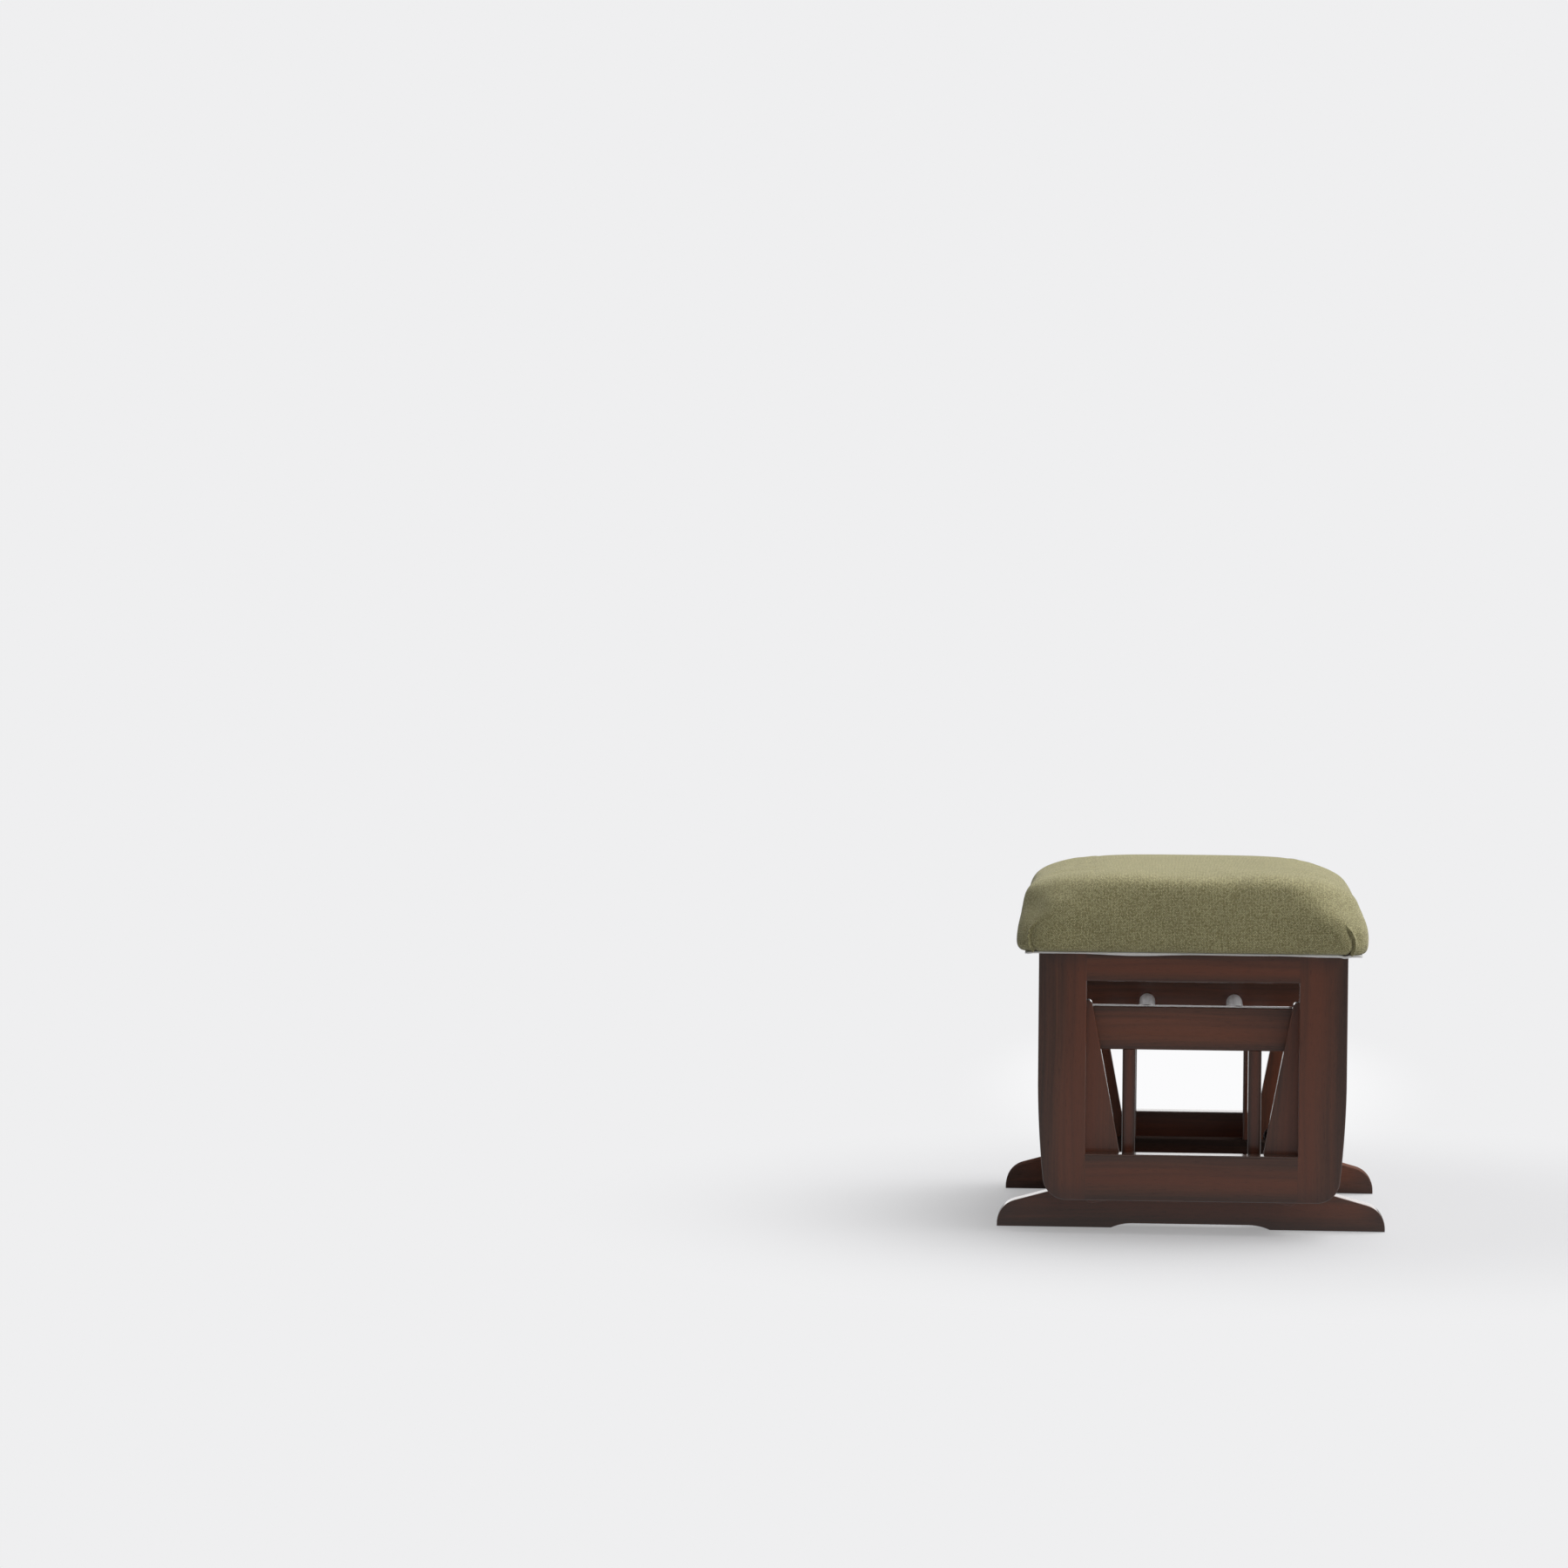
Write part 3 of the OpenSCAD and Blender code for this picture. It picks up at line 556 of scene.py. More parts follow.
def material(name, group, values, vector=None, **shader_values):
    """A material whose group feeds colour, roughness and bump."""
    made = bpy.data.materials.new(name)
    made.use_nodes = True
    s = Shader(made.node_tree)
    surface = made.node_tree.nodes["Principled BSDF"]
    cell = s.add("ShaderNodeGroup", node_tree=group)
    if vector is None:
        vector = s.add("ShaderNodeTexCoord").outputs["Object"]
    elif callable(vector):
        vector = vector(s)
    s.put(cell.inputs["Vector"], vector)
    for label, value in values.items():
        s.put(cell.inputs[label], value)
    s.put(surface.inputs["Base Color"], cell.outputs["Color"])
    if "Roughness" in cell.outputs:
        s.put(surface.inputs["Roughness"], cell.outputs["Roughness"])
    strength = shader_values.pop("bump", 0.2)
    distance = shader_values.pop("relief", 0.2 * MM)
    s.put(surface.inputs["Normal"],
          s.bump(cell.outputs["Height"], strength, distance))
    for label, value in shader_values.items():
        surface.inputs[label.replace("_", " ")].default_value = value
    return made


# A matt board's stain is dimmed and lifted by a pale haze, painted sheen in place of the
# lacquer's reflection.
MATT_DIM = 0.3
MATT_PAINTED_SHEEN = 0.05


def stain(node, axis, lean=0.0, edge_strength=0.8, deep=0.0, outward=0.0, ends=1.0,
          matt=0.0, warm=1.0, middle=0.0):
    """Stained wood whose grain runs along the board that the node is.

    deep darkens the stain as painted shade, and below zero lightens it as painted light on
    boards in the cushion's shade. matt takes its gloss away, dims the stain and adds a pale
    haze, a painted sheen. warm is the share of the red figure, and middle paints shade over
    the middle of the board's length.
    outward moves the middle of its shading away from the outer edge by that share of
    its half width, and ends stretches the shading past the board's ends.
    """
    wood = settings("wood")
    turn = board_turn(axis, lean)
    rotation = Matrix.Rotation(turn[0], 3, "X") @ Matrix.Rotation(turn[1], 3, "Y")
    points = np.array([rotation @ vert.co for vert in frame["nodes"][node].data.vertices])
    low, high = points.min(axis=0), points.max(axis=0)
    centre = (low + high) / 2
    half = (high - low) / 2 * (1 + abs(outward), 1, ends)
    centre[0] -= outward * (high - low)[0] / 2

    def laid(s):
        mapping = s.add("ShaderNodeMapping")
        s.put(mapping.inputs["Vector"], s.add("ShaderNodeTexCoord").outputs["Object"])
        mapping.inputs["Rotation"].default_value = turn
        mapping.inputs["Location"].default_value = -centre
        return mapping.outputs[0]

    # Shifts a stain colour by deep and matt: painted shade, painted light and a painted sheen.
    def with_painted_shade_and_light(value):
        return (*((1 - deep) * (1 - MATT_DIM * matt) * part + MATT_PAINTED_SHEEN * matt
                  for part in value[:3]), 1)

    red = [warm * one + (1 - warm) * other for one, other in zip(wood.red, wood.light)]
    return material(
        f"stain_{node}", stained_wood(),
        {"Half size": tuple(half), "Light": with_painted_shade_and_light(wood.light),
         "Dark": with_painted_shade_and_light(wood.dark), "Red": with_painted_shade_and_light(red), "Middle shade": middle,
         "Edge": with_painted_shade_and_light(wood.edge), "Edge strength": edge_strength,
         "Gloss": wood.roughness + matt / 2},
        laid, bump=0.12, relief=0.15 * MM, Coat_Weight=1 - matt,
        Coat_Roughness=wood.coat, Specular_IOR_Level=0.5 * (1 - matt))


def metal(name, tint, gloss, metallic=1.0, draw=(200, 200, 200), patches=0.3, bump=0.05,
          **shader_values):
    """A metal finish, drawn out along the axes that have few waves."""
    return material(name, plain_metal(),
                    {"Tone": tint, "Draw": draw, "Gloss": gloss, "Stain": patches},
                    bump=bump, relief=0.1 * MM, Metallic=metallic, **shader_values)


# Boards

def make_boards(rows):
    """Rounded boards in place of CAD nodes: node, slot, edges, radius, grain."""
    widest = settings("wood").widest_hole
    for node, slot, choose, radius, grain in rows:
        made = cad_copy(node)
        if node.startswith("stile"):
            cut_at_window(made)
        edges = [edge for edge in outline_edges(made, widest) if choose(edge)]
        if not edges:
            raise RuntimeError(f"{node}: no edge to round")
        round_over(made, edges, radius)
        piece = finished_piece(made, f"{node}_board")
        stand_in(piece, node, stain(node, **grain))


def window():
    """The side frames' window: half width, sill and head, from the rails' boxes."""
    sill_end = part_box("bottom_rail_near")[1]
    return sill_end[0], sill_end[2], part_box("top_rail_near")[0][2]


def cut_at_window(made):
    """Cuts a stile level with the window's sill and head."""
    for level in window()[1:]:
        bmesh.ops.bisect_plane(made, geom=made.verts[:] + made.edges[:] + made.faces[:],
                               plane_co=(0, 0, level), plane_no=(0, 0, 1),
                               dist=MERGE_GAP)


def stile_edge(edge):
    """Outer edges, and the inner ones within the window but not at the joints."""
    half, sill, head = window()
    if not in_face(edge):
        return False
    inner = all(abs(abs(vert.co.x) - half) < 0.1 * MM for vert in edge.verts)
    middle = (edge.verts[0].co.z + edge.verts[1].co.z) / 2
    return not inner or sill < middle < head


CORNERS = [(deep, side) for deep in ("near", "far") for side in ("left", "right")]


def side_frame_rows():
    """The gliding frame's boards."""
    wood = settings("wood")
    rows = [(f"stile_{deep}_{side}", "frame_wood", stile_edge, wood.frame_round,
             {"axis": "Z", "outward": 0.6 if side == "right" else -0.6})
            for deep, side in CORNERS]
    # The far top and bottom rails' stain is darkened as painted shade.
    for rail in ("top_rail", "bottom_rail"):
        rows += [(f"{rail}_{side}", "frame_wood", lambda edge: along(edge, "X"),
                  wood.frame_round, {"axis": "X", "edge_strength": 0.55, "ends": 1.3,
                                     "deep": deep})
                 for side, deep in (("near", 0), ("far", 0.35))]
    # The hidden cross rails' stain is darkened a little as painted shade.
    rows += [(f"cross_rail_{side}", "frame_wood", lambda edge: along(edge, "Y"),
              wood.hidden_round, {"axis": "Y", "deep": 0.15})
             for side in ("left", "right")]
    return rows


def base_rows():
    """The standing base's boards."""
    wood = settings("wood")
    rows = []
    # The near base rail's stain is lightened as painted light in the cushion's shade; the far
    # foot gets painted shade over its middle and, matt, a lighter stain as painted light.
    for side, middle, matt, rail in (("near", 0, 0, -0.6), ("far", 0.7, 1, 0.0)):
        rows.append((f"foot_{side}", "base_wood", in_face, wood.base_round,
                     {"axis": "X", "middle": middle, "matt": matt,
                      "deep": -0.5 * matt}))
        rows.append((f"base_rail_{side}", "base_wood", in_face, wood.base_round,
                     {"axis": "X", "edge_strength": 0.6, "deep": rail, "warm": 0.45}))
    rows += [(f"post_{deep}_{side}", "base_wood", lambda edge: along(edge, "Z"),
              wood.post_round, {"axis": "Z"}) for deep, side in CORNERS]
    # The hidden stretchers' stain is darkened a little as painted shade.
    rows += [(f"stretcher_{side}", "base_wood", lambda edge: along(edge, "Y"),
              wood.hidden_round, {"axis": "Y", "deep": 0.1})
             for side in ("left", "right")]
    return rows


def arm_lean():
    """How far an arm leans from upright, from its own outline."""
    points = [vert.co for vert in frame["nodes"]["arm_near_right"].data.vertices]
    top = [p.x for p in points if p.z > max(q.z for q in points) - 2 * MM]
    foot = [p.x for p in points if p.z < min(q.z for q in points) + 2 * MM]
    rise = max(p.z for p in points) - min(p.z for p in points)
    return math.atan2(sum(top) / len(top) - sum(foot) / len(foot), rise)


def arm_rows():
    """The four slanting arms."""
    wood = settings("wood")
    lean = arm_lean()
    # The arms' stain is lightened as painted light where they lie in the cushion's shade.
    return [(f"arm_{deep}_{side}", "arm_wood", in_face, wood.arm_round,
             {"axis": "Z", "lean": lean if side == "right" else -lean,
              "edge_strength": 0.4, "deep": -0.25}) for deep, side in CORNERS]


# Metal parts

def make_metal(node, finish):
    """A softened copy of a metal CAD node: smooth round faces, broken rims."""
    made = cad_copy(node)
    round_over(made, sharp_edges(made), settings("metal").rim, 2, clamp=True)
    stand_in(finished_piece(made, f"{node}_metal"), node, finish)


SEAL_INNER = 5.5 * MM
SEAL_OUTER = 9.1 * MM
SEAL_BLEND = 0.1 * MM


def bearing_finish(node):
    """Bearing steel with a dark rubber seal between the two rings."""
    values = settings("metal")
    points = [vert.co for vert in frame["nodes"][node].data.vertices]
    middle = (min(p.z for p in points) + max(p.z for p in points)) / 2
    centres = []
    for above in (True, False):
        ring = [p for p in points if (p.z > middle) == above]
        centres.append([(min(p[i] for p in ring) + max(p[i] for p in ring)) / 2
                        for i in range(3)])
    made = metal(f"steel_{node}", values.bearing, 0.22)
    s = Shader(made.node_tree)
    surface = made.node_tree.nodes["Principled BSDF"]
    place = s.add("ShaderNodeTexCoord").outputs["Object"]
    radius = s.math("MINIMUM", *(
        s.reach(s.vector("MULTIPLY", s.vector("SUBTRACT", place, centre), (1, 0, 1)))
        for centre in centres))
    inner = s.step(radius, SEAL_INNER - SEAL_BLEND, SEAL_INNER + SEAL_BLEND)
    outer = s.step(radius, SEAL_OUTER - SEAL_BLEND, SEAL_OUTER + SEAL_BLEND, 1, 0)
    rubber = s.times(inner, outer)
    steel = surface.inputs["Base Color"].links[0].from_socket
    s.put(surface.inputs["Base Color"], s.mix(rubber, steel, values.seal))
    s.put(surface.inputs["Metallic"], s.math("SUBTRACT", 1.0, rubber))
    return made


def make_hardware():
    """All metal parts."""
    values = settings("metal")
    black = metal("blackened_steel", values.bolt, 0.38, 0.85)
    zinc = metal("zinc_plate", values.zinc, 0.34, patches=0.5)
    screws = metal("screw_steel", values.zinc, 0.3, patches=0.2)
    tube = metal("satin_tube", values.tube, 0.4, 0.0, (900, 25, 900), 0.1, 0.06,
                 Sheen_Weight=1, Sheen_Roughness=0.3, Coat_Weight=1, Coat_Roughness=0.35)
    brass = metal("insert_brass", values.brass, 0.3)
    for slot, finish, nodes in (
            ("tube_steel", tube, ("cross_tube_left", "cross_tube_right")),
            ("bolt_steel", black, ("stretcher_bolts", "upper_pivot_bolts",
                                   "lower_pivot_bolts")),
            ("screw_steel", screws, ("tube_screws", "cushion_screws")),
            ("zinc_steel", zinc, ("barrel_nuts", "upper_spacers", "lower_spacers")),
            ("insert_brass", brass, ("upper_inserts", "lower_inserts"))):
        for node in nodes:
            make_metal(node, finish)
    for deep, side in CORNERS:
        node = f"bearings_{deep}_{side}"
        make_metal(node, bearing_finish(node))


def bare_wood(name, light, dark, red, gloss, bump):
    """Wood without stain, evenly coloured to its edges."""
    return material(
        name, stained_wood(),
        {"Half size": (1, 1, 1), "Light": light, "Dark": tone(*dark), "Red": tone(*red),
         "Edge": light, "Edge strength": 0, "Gloss": gloss}, bump=bump)


def make_inner_parts():
    """Finishes for the solids that stay as the CAD drew them."""
    wood = settings("wood")
    beech = bare_wood("beech", wood.beech, (176, 136, 92), (188, 140, 98), 0.5, 0.15)
    ply = bare_wood("plywood", wood.ply, (150, 112, 72), (176, 128, 84), 0.55, 0.2)
    foam = material("foam", foam_cells(), {"Tone": tone(226, 214, 168)}, bump=0.6,
                    relief=0.6 * MM, Roughness=0.9)
    finishes = {"frame_dowels": beech, "cross_rail_dowels": beech,
                "stretcher_dowels": beech, "cushion_board": ply, "foam_block": foam}
    for node, finish in finishes.items():
        mesh = frame["nodes"][node].data
        mesh.materials.clear()
        mesh.materials.append(finish)


def foam_cells():
    """The group for open foam cells."""
    tree, s, given, result = effect("Foam cells", [("Vector", "Vector"), ("Tone", "Color")],
                                    [("Color", "Color"), ("Height", "Float")])
    cells = s.add("ShaderNodeTexVoronoi")
    s.put(cells.inputs["Vector"], given["Vector"])
    cells.inputs["Scale"].default_value = FOAM_CELLS
    deep = s.step(cells.outputs["Distance"], 0.1, 0.6)
    s.put(result["Color"], s.mix(deep, given["Tone"], tone(196, 180, 132)))
    s.put(result["Height"], deep)
    return tree


# Cushion

POCKET_GAP = 1 * MM
HELD_BAND = 3 * MM


def outer_shell(node):
    """The CAD cushion's outer skin, closed flat over the pocket for board and foam."""
    made = bmesh.new()
    made.from_mesh(frame["nodes"][node].data)
    bmesh.ops.remove_doubles(made, verts=made.verts, dist=MERGE_GAP)
    wide = [side + POCKET_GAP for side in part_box("cushion_board")[1][:2]]
    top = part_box("foam_block")[1][2] + POCKET_GAP
    pocket = [vert for vert in made.verts
              if abs(vert.co.x) < wide[0] and abs(vert.co.y) < wide[1] and vert.co.z < top]
    bmesh.ops.delete(made, geom=pocket, context="VERTS")
    rim = [edge for edge in made.edges if edge.is_boundary]
    if not pocket or not rim:
        raise RuntimeError("the cushion's pocket was not found")
    bmesh.ops.holes_fill(made, edges=rim)
    return made


def apply_modifiers(piece):
    """Applies every modifier by taking the evaluated mesh."""
    bpy.context.view_layer.update()
    depsgraph = bpy.context.evaluated_depsgraph_get()
    mesh = bpy.data.meshes.new_from_object(piece.evaluated_get(depsgraph))
    piece.modifiers.clear()
    old = piece.data
    piece.data = mesh
    bpy.data.meshes.remove(old)


def coordinates(mesh, kind="co"):
    """The mesh's vertex places, or its vertex normals, as an array."""
    values = np.empty(len(mesh.vertices) * 3)
    mesh.vertices.foreach_get(kind, values)
    return values.reshape(-1, 3)


def set_coordinates(mesh, places):
    """Writes vertex places back."""
    mesh.vertices.foreach_set("co", places.ravel())
    mesh.update()


def smooth(value):
    """A smooth step of the values from 0 to 1."""
    value = np.clip(value, 0, 1)
    return value * value * (3 - 2 * value)


def evened(line, reach):
    """The line, averaged three times over so many neighbours on either side."""
    width = 2 * reach + 1
    for _ in range(3):
        line = np.convolve(np.pad(line, reach, "edge"), np.ones(width) / width, "valid")
    return line


def swell(piece, base):
    """Swells the form with cloth held at its base, and caps how far it moves."""
    values = settings("cushion")
    places = coordinates(piece.data)
    pins = piece.vertex_groups.new(name="held")
    held = np.nonzero(places[:, 2] < base + values.start_inset + HELD_BAND)[0]
    pins.add([int(i) for i in held], 1.0, "REPLACE")
    cloth = piece.modifiers.new("Cloth", "CLOTH")
    cloth.settings.quality = 6
    cloth.settings.mass = 0.3
    cloth.settings.tension_stiffness = 12
    cloth.settings.compression_stiffness = 12
    cloth.settings.bending_stiffness = 2
    cloth.settings.use_pressure = True
    cloth.settings.uniform_pressure_force = values.pressure
    cloth.settings.effector_weights.gravity = 0
    cloth.settings.vertex_group_mass = "held"
    scene = bpy.context.scene
    for number in range(1, values.frames + 1):
        scene.frame_set(number)
    depsgraph = bpy.context.evaluated_depsgraph_get()
    moved = coordinates(piece.evaluated_get(depsgraph).to_mesh())
    piece.modifiers.clear()
    scene.frame_set(1)
    shift = moved - places
    normals = coordinates(piece.data, "normal")
    out = (shift * normals).sum(axis=1, keepdims=True)
    aside = shift - out * normals
    far = np.linalg.norm(aside, axis=1, keepdims=True)
    aside *= np.minimum(1, values.slip_cap / np.maximum(far, 1e-9))
    out = np.clip(out, 0, values.swell_cap)
    set_coordinates(piece.data, places + aside + out * normals)
    piece.vertex_groups.clear()
    relaxed = piece.modifiers.new("Relaxed", "SMOOTH")
    relaxed.factor = 0.5
    relaxed.iterations = 8
    apply_modifiers(piece)


def fit_box(places, low, high):
    """Scales the places to the CAD's box, with a level base."""
    now_low, now_high = places.min(axis=0), places.max(axis=0)
    fitted = (places - now_low) / (now_high - now_low)
    fitted = np.array(low) + fitted * (np.array(high) - np.array(low))
    return fitted


PROFILE_RISE = 35 * MM
PROFILE_BAND = 100 * MM
PROFILE_TURNS = np.radians(np.arange(-45, 91, 1.5))


def fit_profile(places, base, axis, inner, tables):
    """Scales each side's outline until it is the table's.

    The outline is taken over the middle band of that side. It is scaled about a point
    PROFILE_RISE above the base and inner from the middle, by turns about that point.
    """
    rise = PROFILE_RISE
    level = places[:, 2] - base - rise
    reach = np.abs(places[:, axis]) - inner
    turn = np.arctan2(level, np.maximum(reach, 0))
    radius = np.hypot(level, np.maximum(reach, 0))
    middle = (np.abs(places[:, 1 - axis]) < PROFILE_BAND) & (reach > 1 * MM)
    bins = PROFILE_TURNS
    for side, table in zip((-1, 1), tables):
        points = np.array(((0, 0), *table)) * MM
        steps = np.linspace(0, len(points) - 1, 600)
        height, half = [np.interp(steps, range(len(points)), part) - start
                        for part, start in zip(points.T, (rise, inner))]
        wanted = np.interp(bins, np.arctan2(height, half), np.hypot(height, half))
        mine = places[:, axis] * side > 0
        ring = np.nonzero(mine & middle)[0]
        order = ring[np.argsort(turn[ring])]
        slot = np.digitize(turn[order], bins)
        found = [number for number in range(len(bins)) if (slot == number).any()]
        now = np.interp(bins, [turn[order][slot == n].mean() for n in found],
                        [radius[order][slot == n].mean() for n in found])
        factor = np.interp(turn, bins, evened(wanted / now, 2))
        within = smooth(np.abs(places[:, axis]) / inner)
        factor = np.where(reach > 0, factor, 1 + (factor - 1) * within)
        factor = np.where(mine, factor, 1)
        rising = np.maximum(level * factor, -rise)
        places[:, 2] = np.where(mine & (level > 0.3 * MM - rise), base + rise + rising,
                                places[:, 2])
        places[:, axis] = np.where(mine & (reach > 0), side * (inner + reach * factor),
                                   places[:, axis])
    return places


PULL_HEIGHTS = np.arange(-20, 110)
PULL_BLEND = 95 * MM


def pull_corners(places, base):
    """Rounds the upper corners in plan, more towards the top and on the far side."""
    height = places[:, 2] - base
    half = [np.interp(height, *np.array(table).T * MM)
            for table in (REACH_LEFT, DEPTH_NEAR)]
    share_now = np.abs(places[:, :2]) / np.transpose(half)
    near, far = [
        np.interp(height, PULL_HEIGHTS * MM,
                  evened(np.interp(PULL_HEIGHTS, *np.array(table).T), 5))
        for table in (PULL_NEAR, PULL_FAR)]
    pull = near + (far - near) * (0.5 + 0.5 * np.tanh(places[:, 1] / PULL_BLEND))
    places[:, :2] *= 1 - (pull * share_now.prod(axis=1) ** 1.5)[:, None]
    return places


# The crown's curves in millimetres: how far it drops at that distance from the middle,
# and the power with which the drop grows. Then where the crown ends across each axis,
# over what width it blends into the sides, and how far below the top it reaches.
CROWN_ENDS = (5, 132, 4.5)
CROWN_NEAR = (3, 212, 8)
CROWN_FAR = (6, 180, 3)
CROWN_EDGES = (140, 185)
CROWN_BLEND = 60
CROWN_DEPTH = 26
NEAR_REACH_SHARE = 0.9


def crown_drop(distance, curve):
    """How far one of the crown's curves drops at that distance."""
    drop, reach, power = curve
    return drop * (distance / reach) ** power


def lay_crown(places, top):
    """Lays the middle of the top on a smooth crown that meets the four tables."""
    x, y = np.abs(places[:, :2]).T / MM
    near = places[:, 1] < 0
    drop = crown_drop(x, CROWN_ENDS)
    drop += np.where(near, crown_drop(y, CROWN_NEAR), crown_drop(y, CROWN_FAR))
    inside = places[:, 2] > top - CROWN_DEPTH * MM
    for far, edge in zip((x, y * np.where(near, NEAR_REACH_SHARE, 1)), CROWN_EDGES):
        inside = inside * smooth((edge - far) / CROWN_BLEND)
    places[:, 2] += (top - drop * MM - places[:, 2]) * inside
    return places


# How far out along Y a pleat's crease, its finer mesh and its pull on the cloth start.
CREASE_FROM = 190 * MM
FINER_FROM = 170 * MM
PULLED_FROM = 150 * MM
# How a pleat fades at its upper end, how far round its crease the mesh is finer and how
# far above it, its lip's place, width and fade outward, and its crease's width.
PLEAT_FADE = 9 * MM
FINER_REACHES = (16 * MM, 6 * MM)
FINER_ABOVE = 4 * MM
LIP_AWAY = 1.1 * MM
LIP_WIDTH = 1.3 * MM
LIP_FADE = 10 * MM
CREASE_WIDTH = 1.9 * MM
# The puckers round a pleat's upper end: height, spacing, reach, and how far inward of
# the crease their middle lies.
PUCKER_HEIGHT = 0.45 * MM
PUCKER_SPACING = 4.2 * MM
PUCKER_REACH = 30 * MM
PUCKER_INWARD = 12 * MM
PUCKER_FROM = 100 * MM


class CornerPleat:
    """The crease of one corner pleat on a long side of the cushion."""

    def __init__(self, side, face, points):
        self.side = side
        self.face = face
        self.points = np.array(points) * MM
        self.wall = (0.9 if side < 0 else 0.6) * MM
        self.deep = 0.6 if side < 0 else 1.0

    def measure(self, places):
        """Signed distance outward from the crease, and a fade at its upper end."""
        level = places[:, 2]
        order = np.argsort(self.points[:, 1])
        line = np.interp(level, self.points[order, 1], self.points[order, 0])
        away = places[:, 0] * self.side - line
        top = self.points[:, 1].max()
        fade = smooth((top - level) / PLEAT_FADE)
        return away, np.where(self.faces(places, CREASE_FROM), fade, 0), top

    def faces(self, places, start):
        """Which places lie beyond that distance on the pleat's long side."""
        return places[:, 1] * self.face > start


def refine_near(mesh, pleats):
    """Cuts the mesh finer round the pleats."""
    made = bmesh.new()
    made.from_mesh(mesh)
    for reach in FINER_REACHES:
        places = np.array([vert.co for vert in made.verts])
        wanted = np.zeros(len(places), bool)
        for pleat in pleats:
            away, _, top = pleat.measure(places)
            low_enough = places[:, 2] < top + FINER_ABOVE
            facing = pleat.faces(places, FINER_FROM)
            wanted |= (np.abs(away) < reach) & low_enough & facing
        made.verts.index_update()
        edges = [edge for edge in made.edges
                 if wanted[edge.verts[0].index] and wanted[edge.verts[1].index]]
        bmesh.ops.subdivide_edges(made, edges=edges, cuts=1, use_grid_fill=True)
        many = [face for face in made.faces if len(face.verts) > 4]
        bmesh.ops.triangulate(made, faces=many)
    made.to_mesh(mesh)
    made.free()


def press_pleats(mesh, pleats):
    """Raises each pleat's lip and presses the crease beside it."""
    values = settings("cushion")
    places = coordinates(mesh)
    normals = coordinates(mesh, "normal")
    lift = np.zeros(len(places))
    for pleat in pleats:
        away, fade, top = pleat.measure(places)
        ridge = np.exp(-((away - LIP_AWAY) / LIP_WIDTH) ** 2)
        band = 0.45 * np.exp(-np.clip(away, 0, None) / LIP_FADE)
        lip = values.pleat_lift * (0.55 * ridge + band)
        crease = -values.pleat_groove * pleat.deep * np.exp(
            np.clip(away, None, 0) / CREASE_WIDTH)
        step = np.clip(away / pleat.wall + 0.5, 0, 1)
        lift += fade * (step * lip + (1 - step) * crease)
        above = places[:, 2] - top
        reach = np.hypot(away + PUCKER_INWARD, above * 0.7)
        pull = np.exp(-(reach / PUCKER_REACH) ** 2)
        wave = np.sin((away * 0.8 + above * 0.6) / PUCKER_SPACING)
        facing = pleat.faces(places, FINER_FROM)
        facing &= places[:, 0] * pleat.side > PUCKER_FROM
        lift += np.where(facing, PUCKER_HEIGHT * pull * wave, 0)
    set_coordinates(mesh, places + normals * lift[:, None])


# The hem's waves: the height of their middle, their band's half height, and where above
# the base they start. Then, for the cloth map, the point about which an outline's turn
# is taken, the half width of the strip that gives it, and a pleat's pull on the yarns.
HEM_HEIGHT = 5 * MM
HEM_BAND = 6 * MM
HEM_START = 0.5 * MM
ARC_DEPTH = -160 * MM
ARC_RISE = 30 * MM
STRIP_HALF = 4 * MM
YARN_PULL = 5 * MM
YARN_PULL_FADE = 20 * MM


def wave_hem(mesh, base):
    """Waves the lower edge a little, as cloth stapled every few centimetres does."""
    values = settings("cushion")
    places = coordinates(mesh)
    height = places[:, 2] - base
    band = np.exp(-((height - HEM_HEIGHT) / HEM_BAND) ** 2)
    wave = np.array([noise.noise(Vector((x * 22, y * 22, 3.1)))
                     for x, y in places[:, :2]])
    outward = places.copy()
    outward[:, 2] = 0
    outward /= np.maximum(np.linalg.norm(outward, axis=1, keepdims=True), 1e-9)
    places += outward * (wave * band * values.hem_wave)[:, None]
    places[:, 2] += np.where(height > HEM_START, wave * band * values.hem_wave, 0)
    set_coordinates(mesh, places)


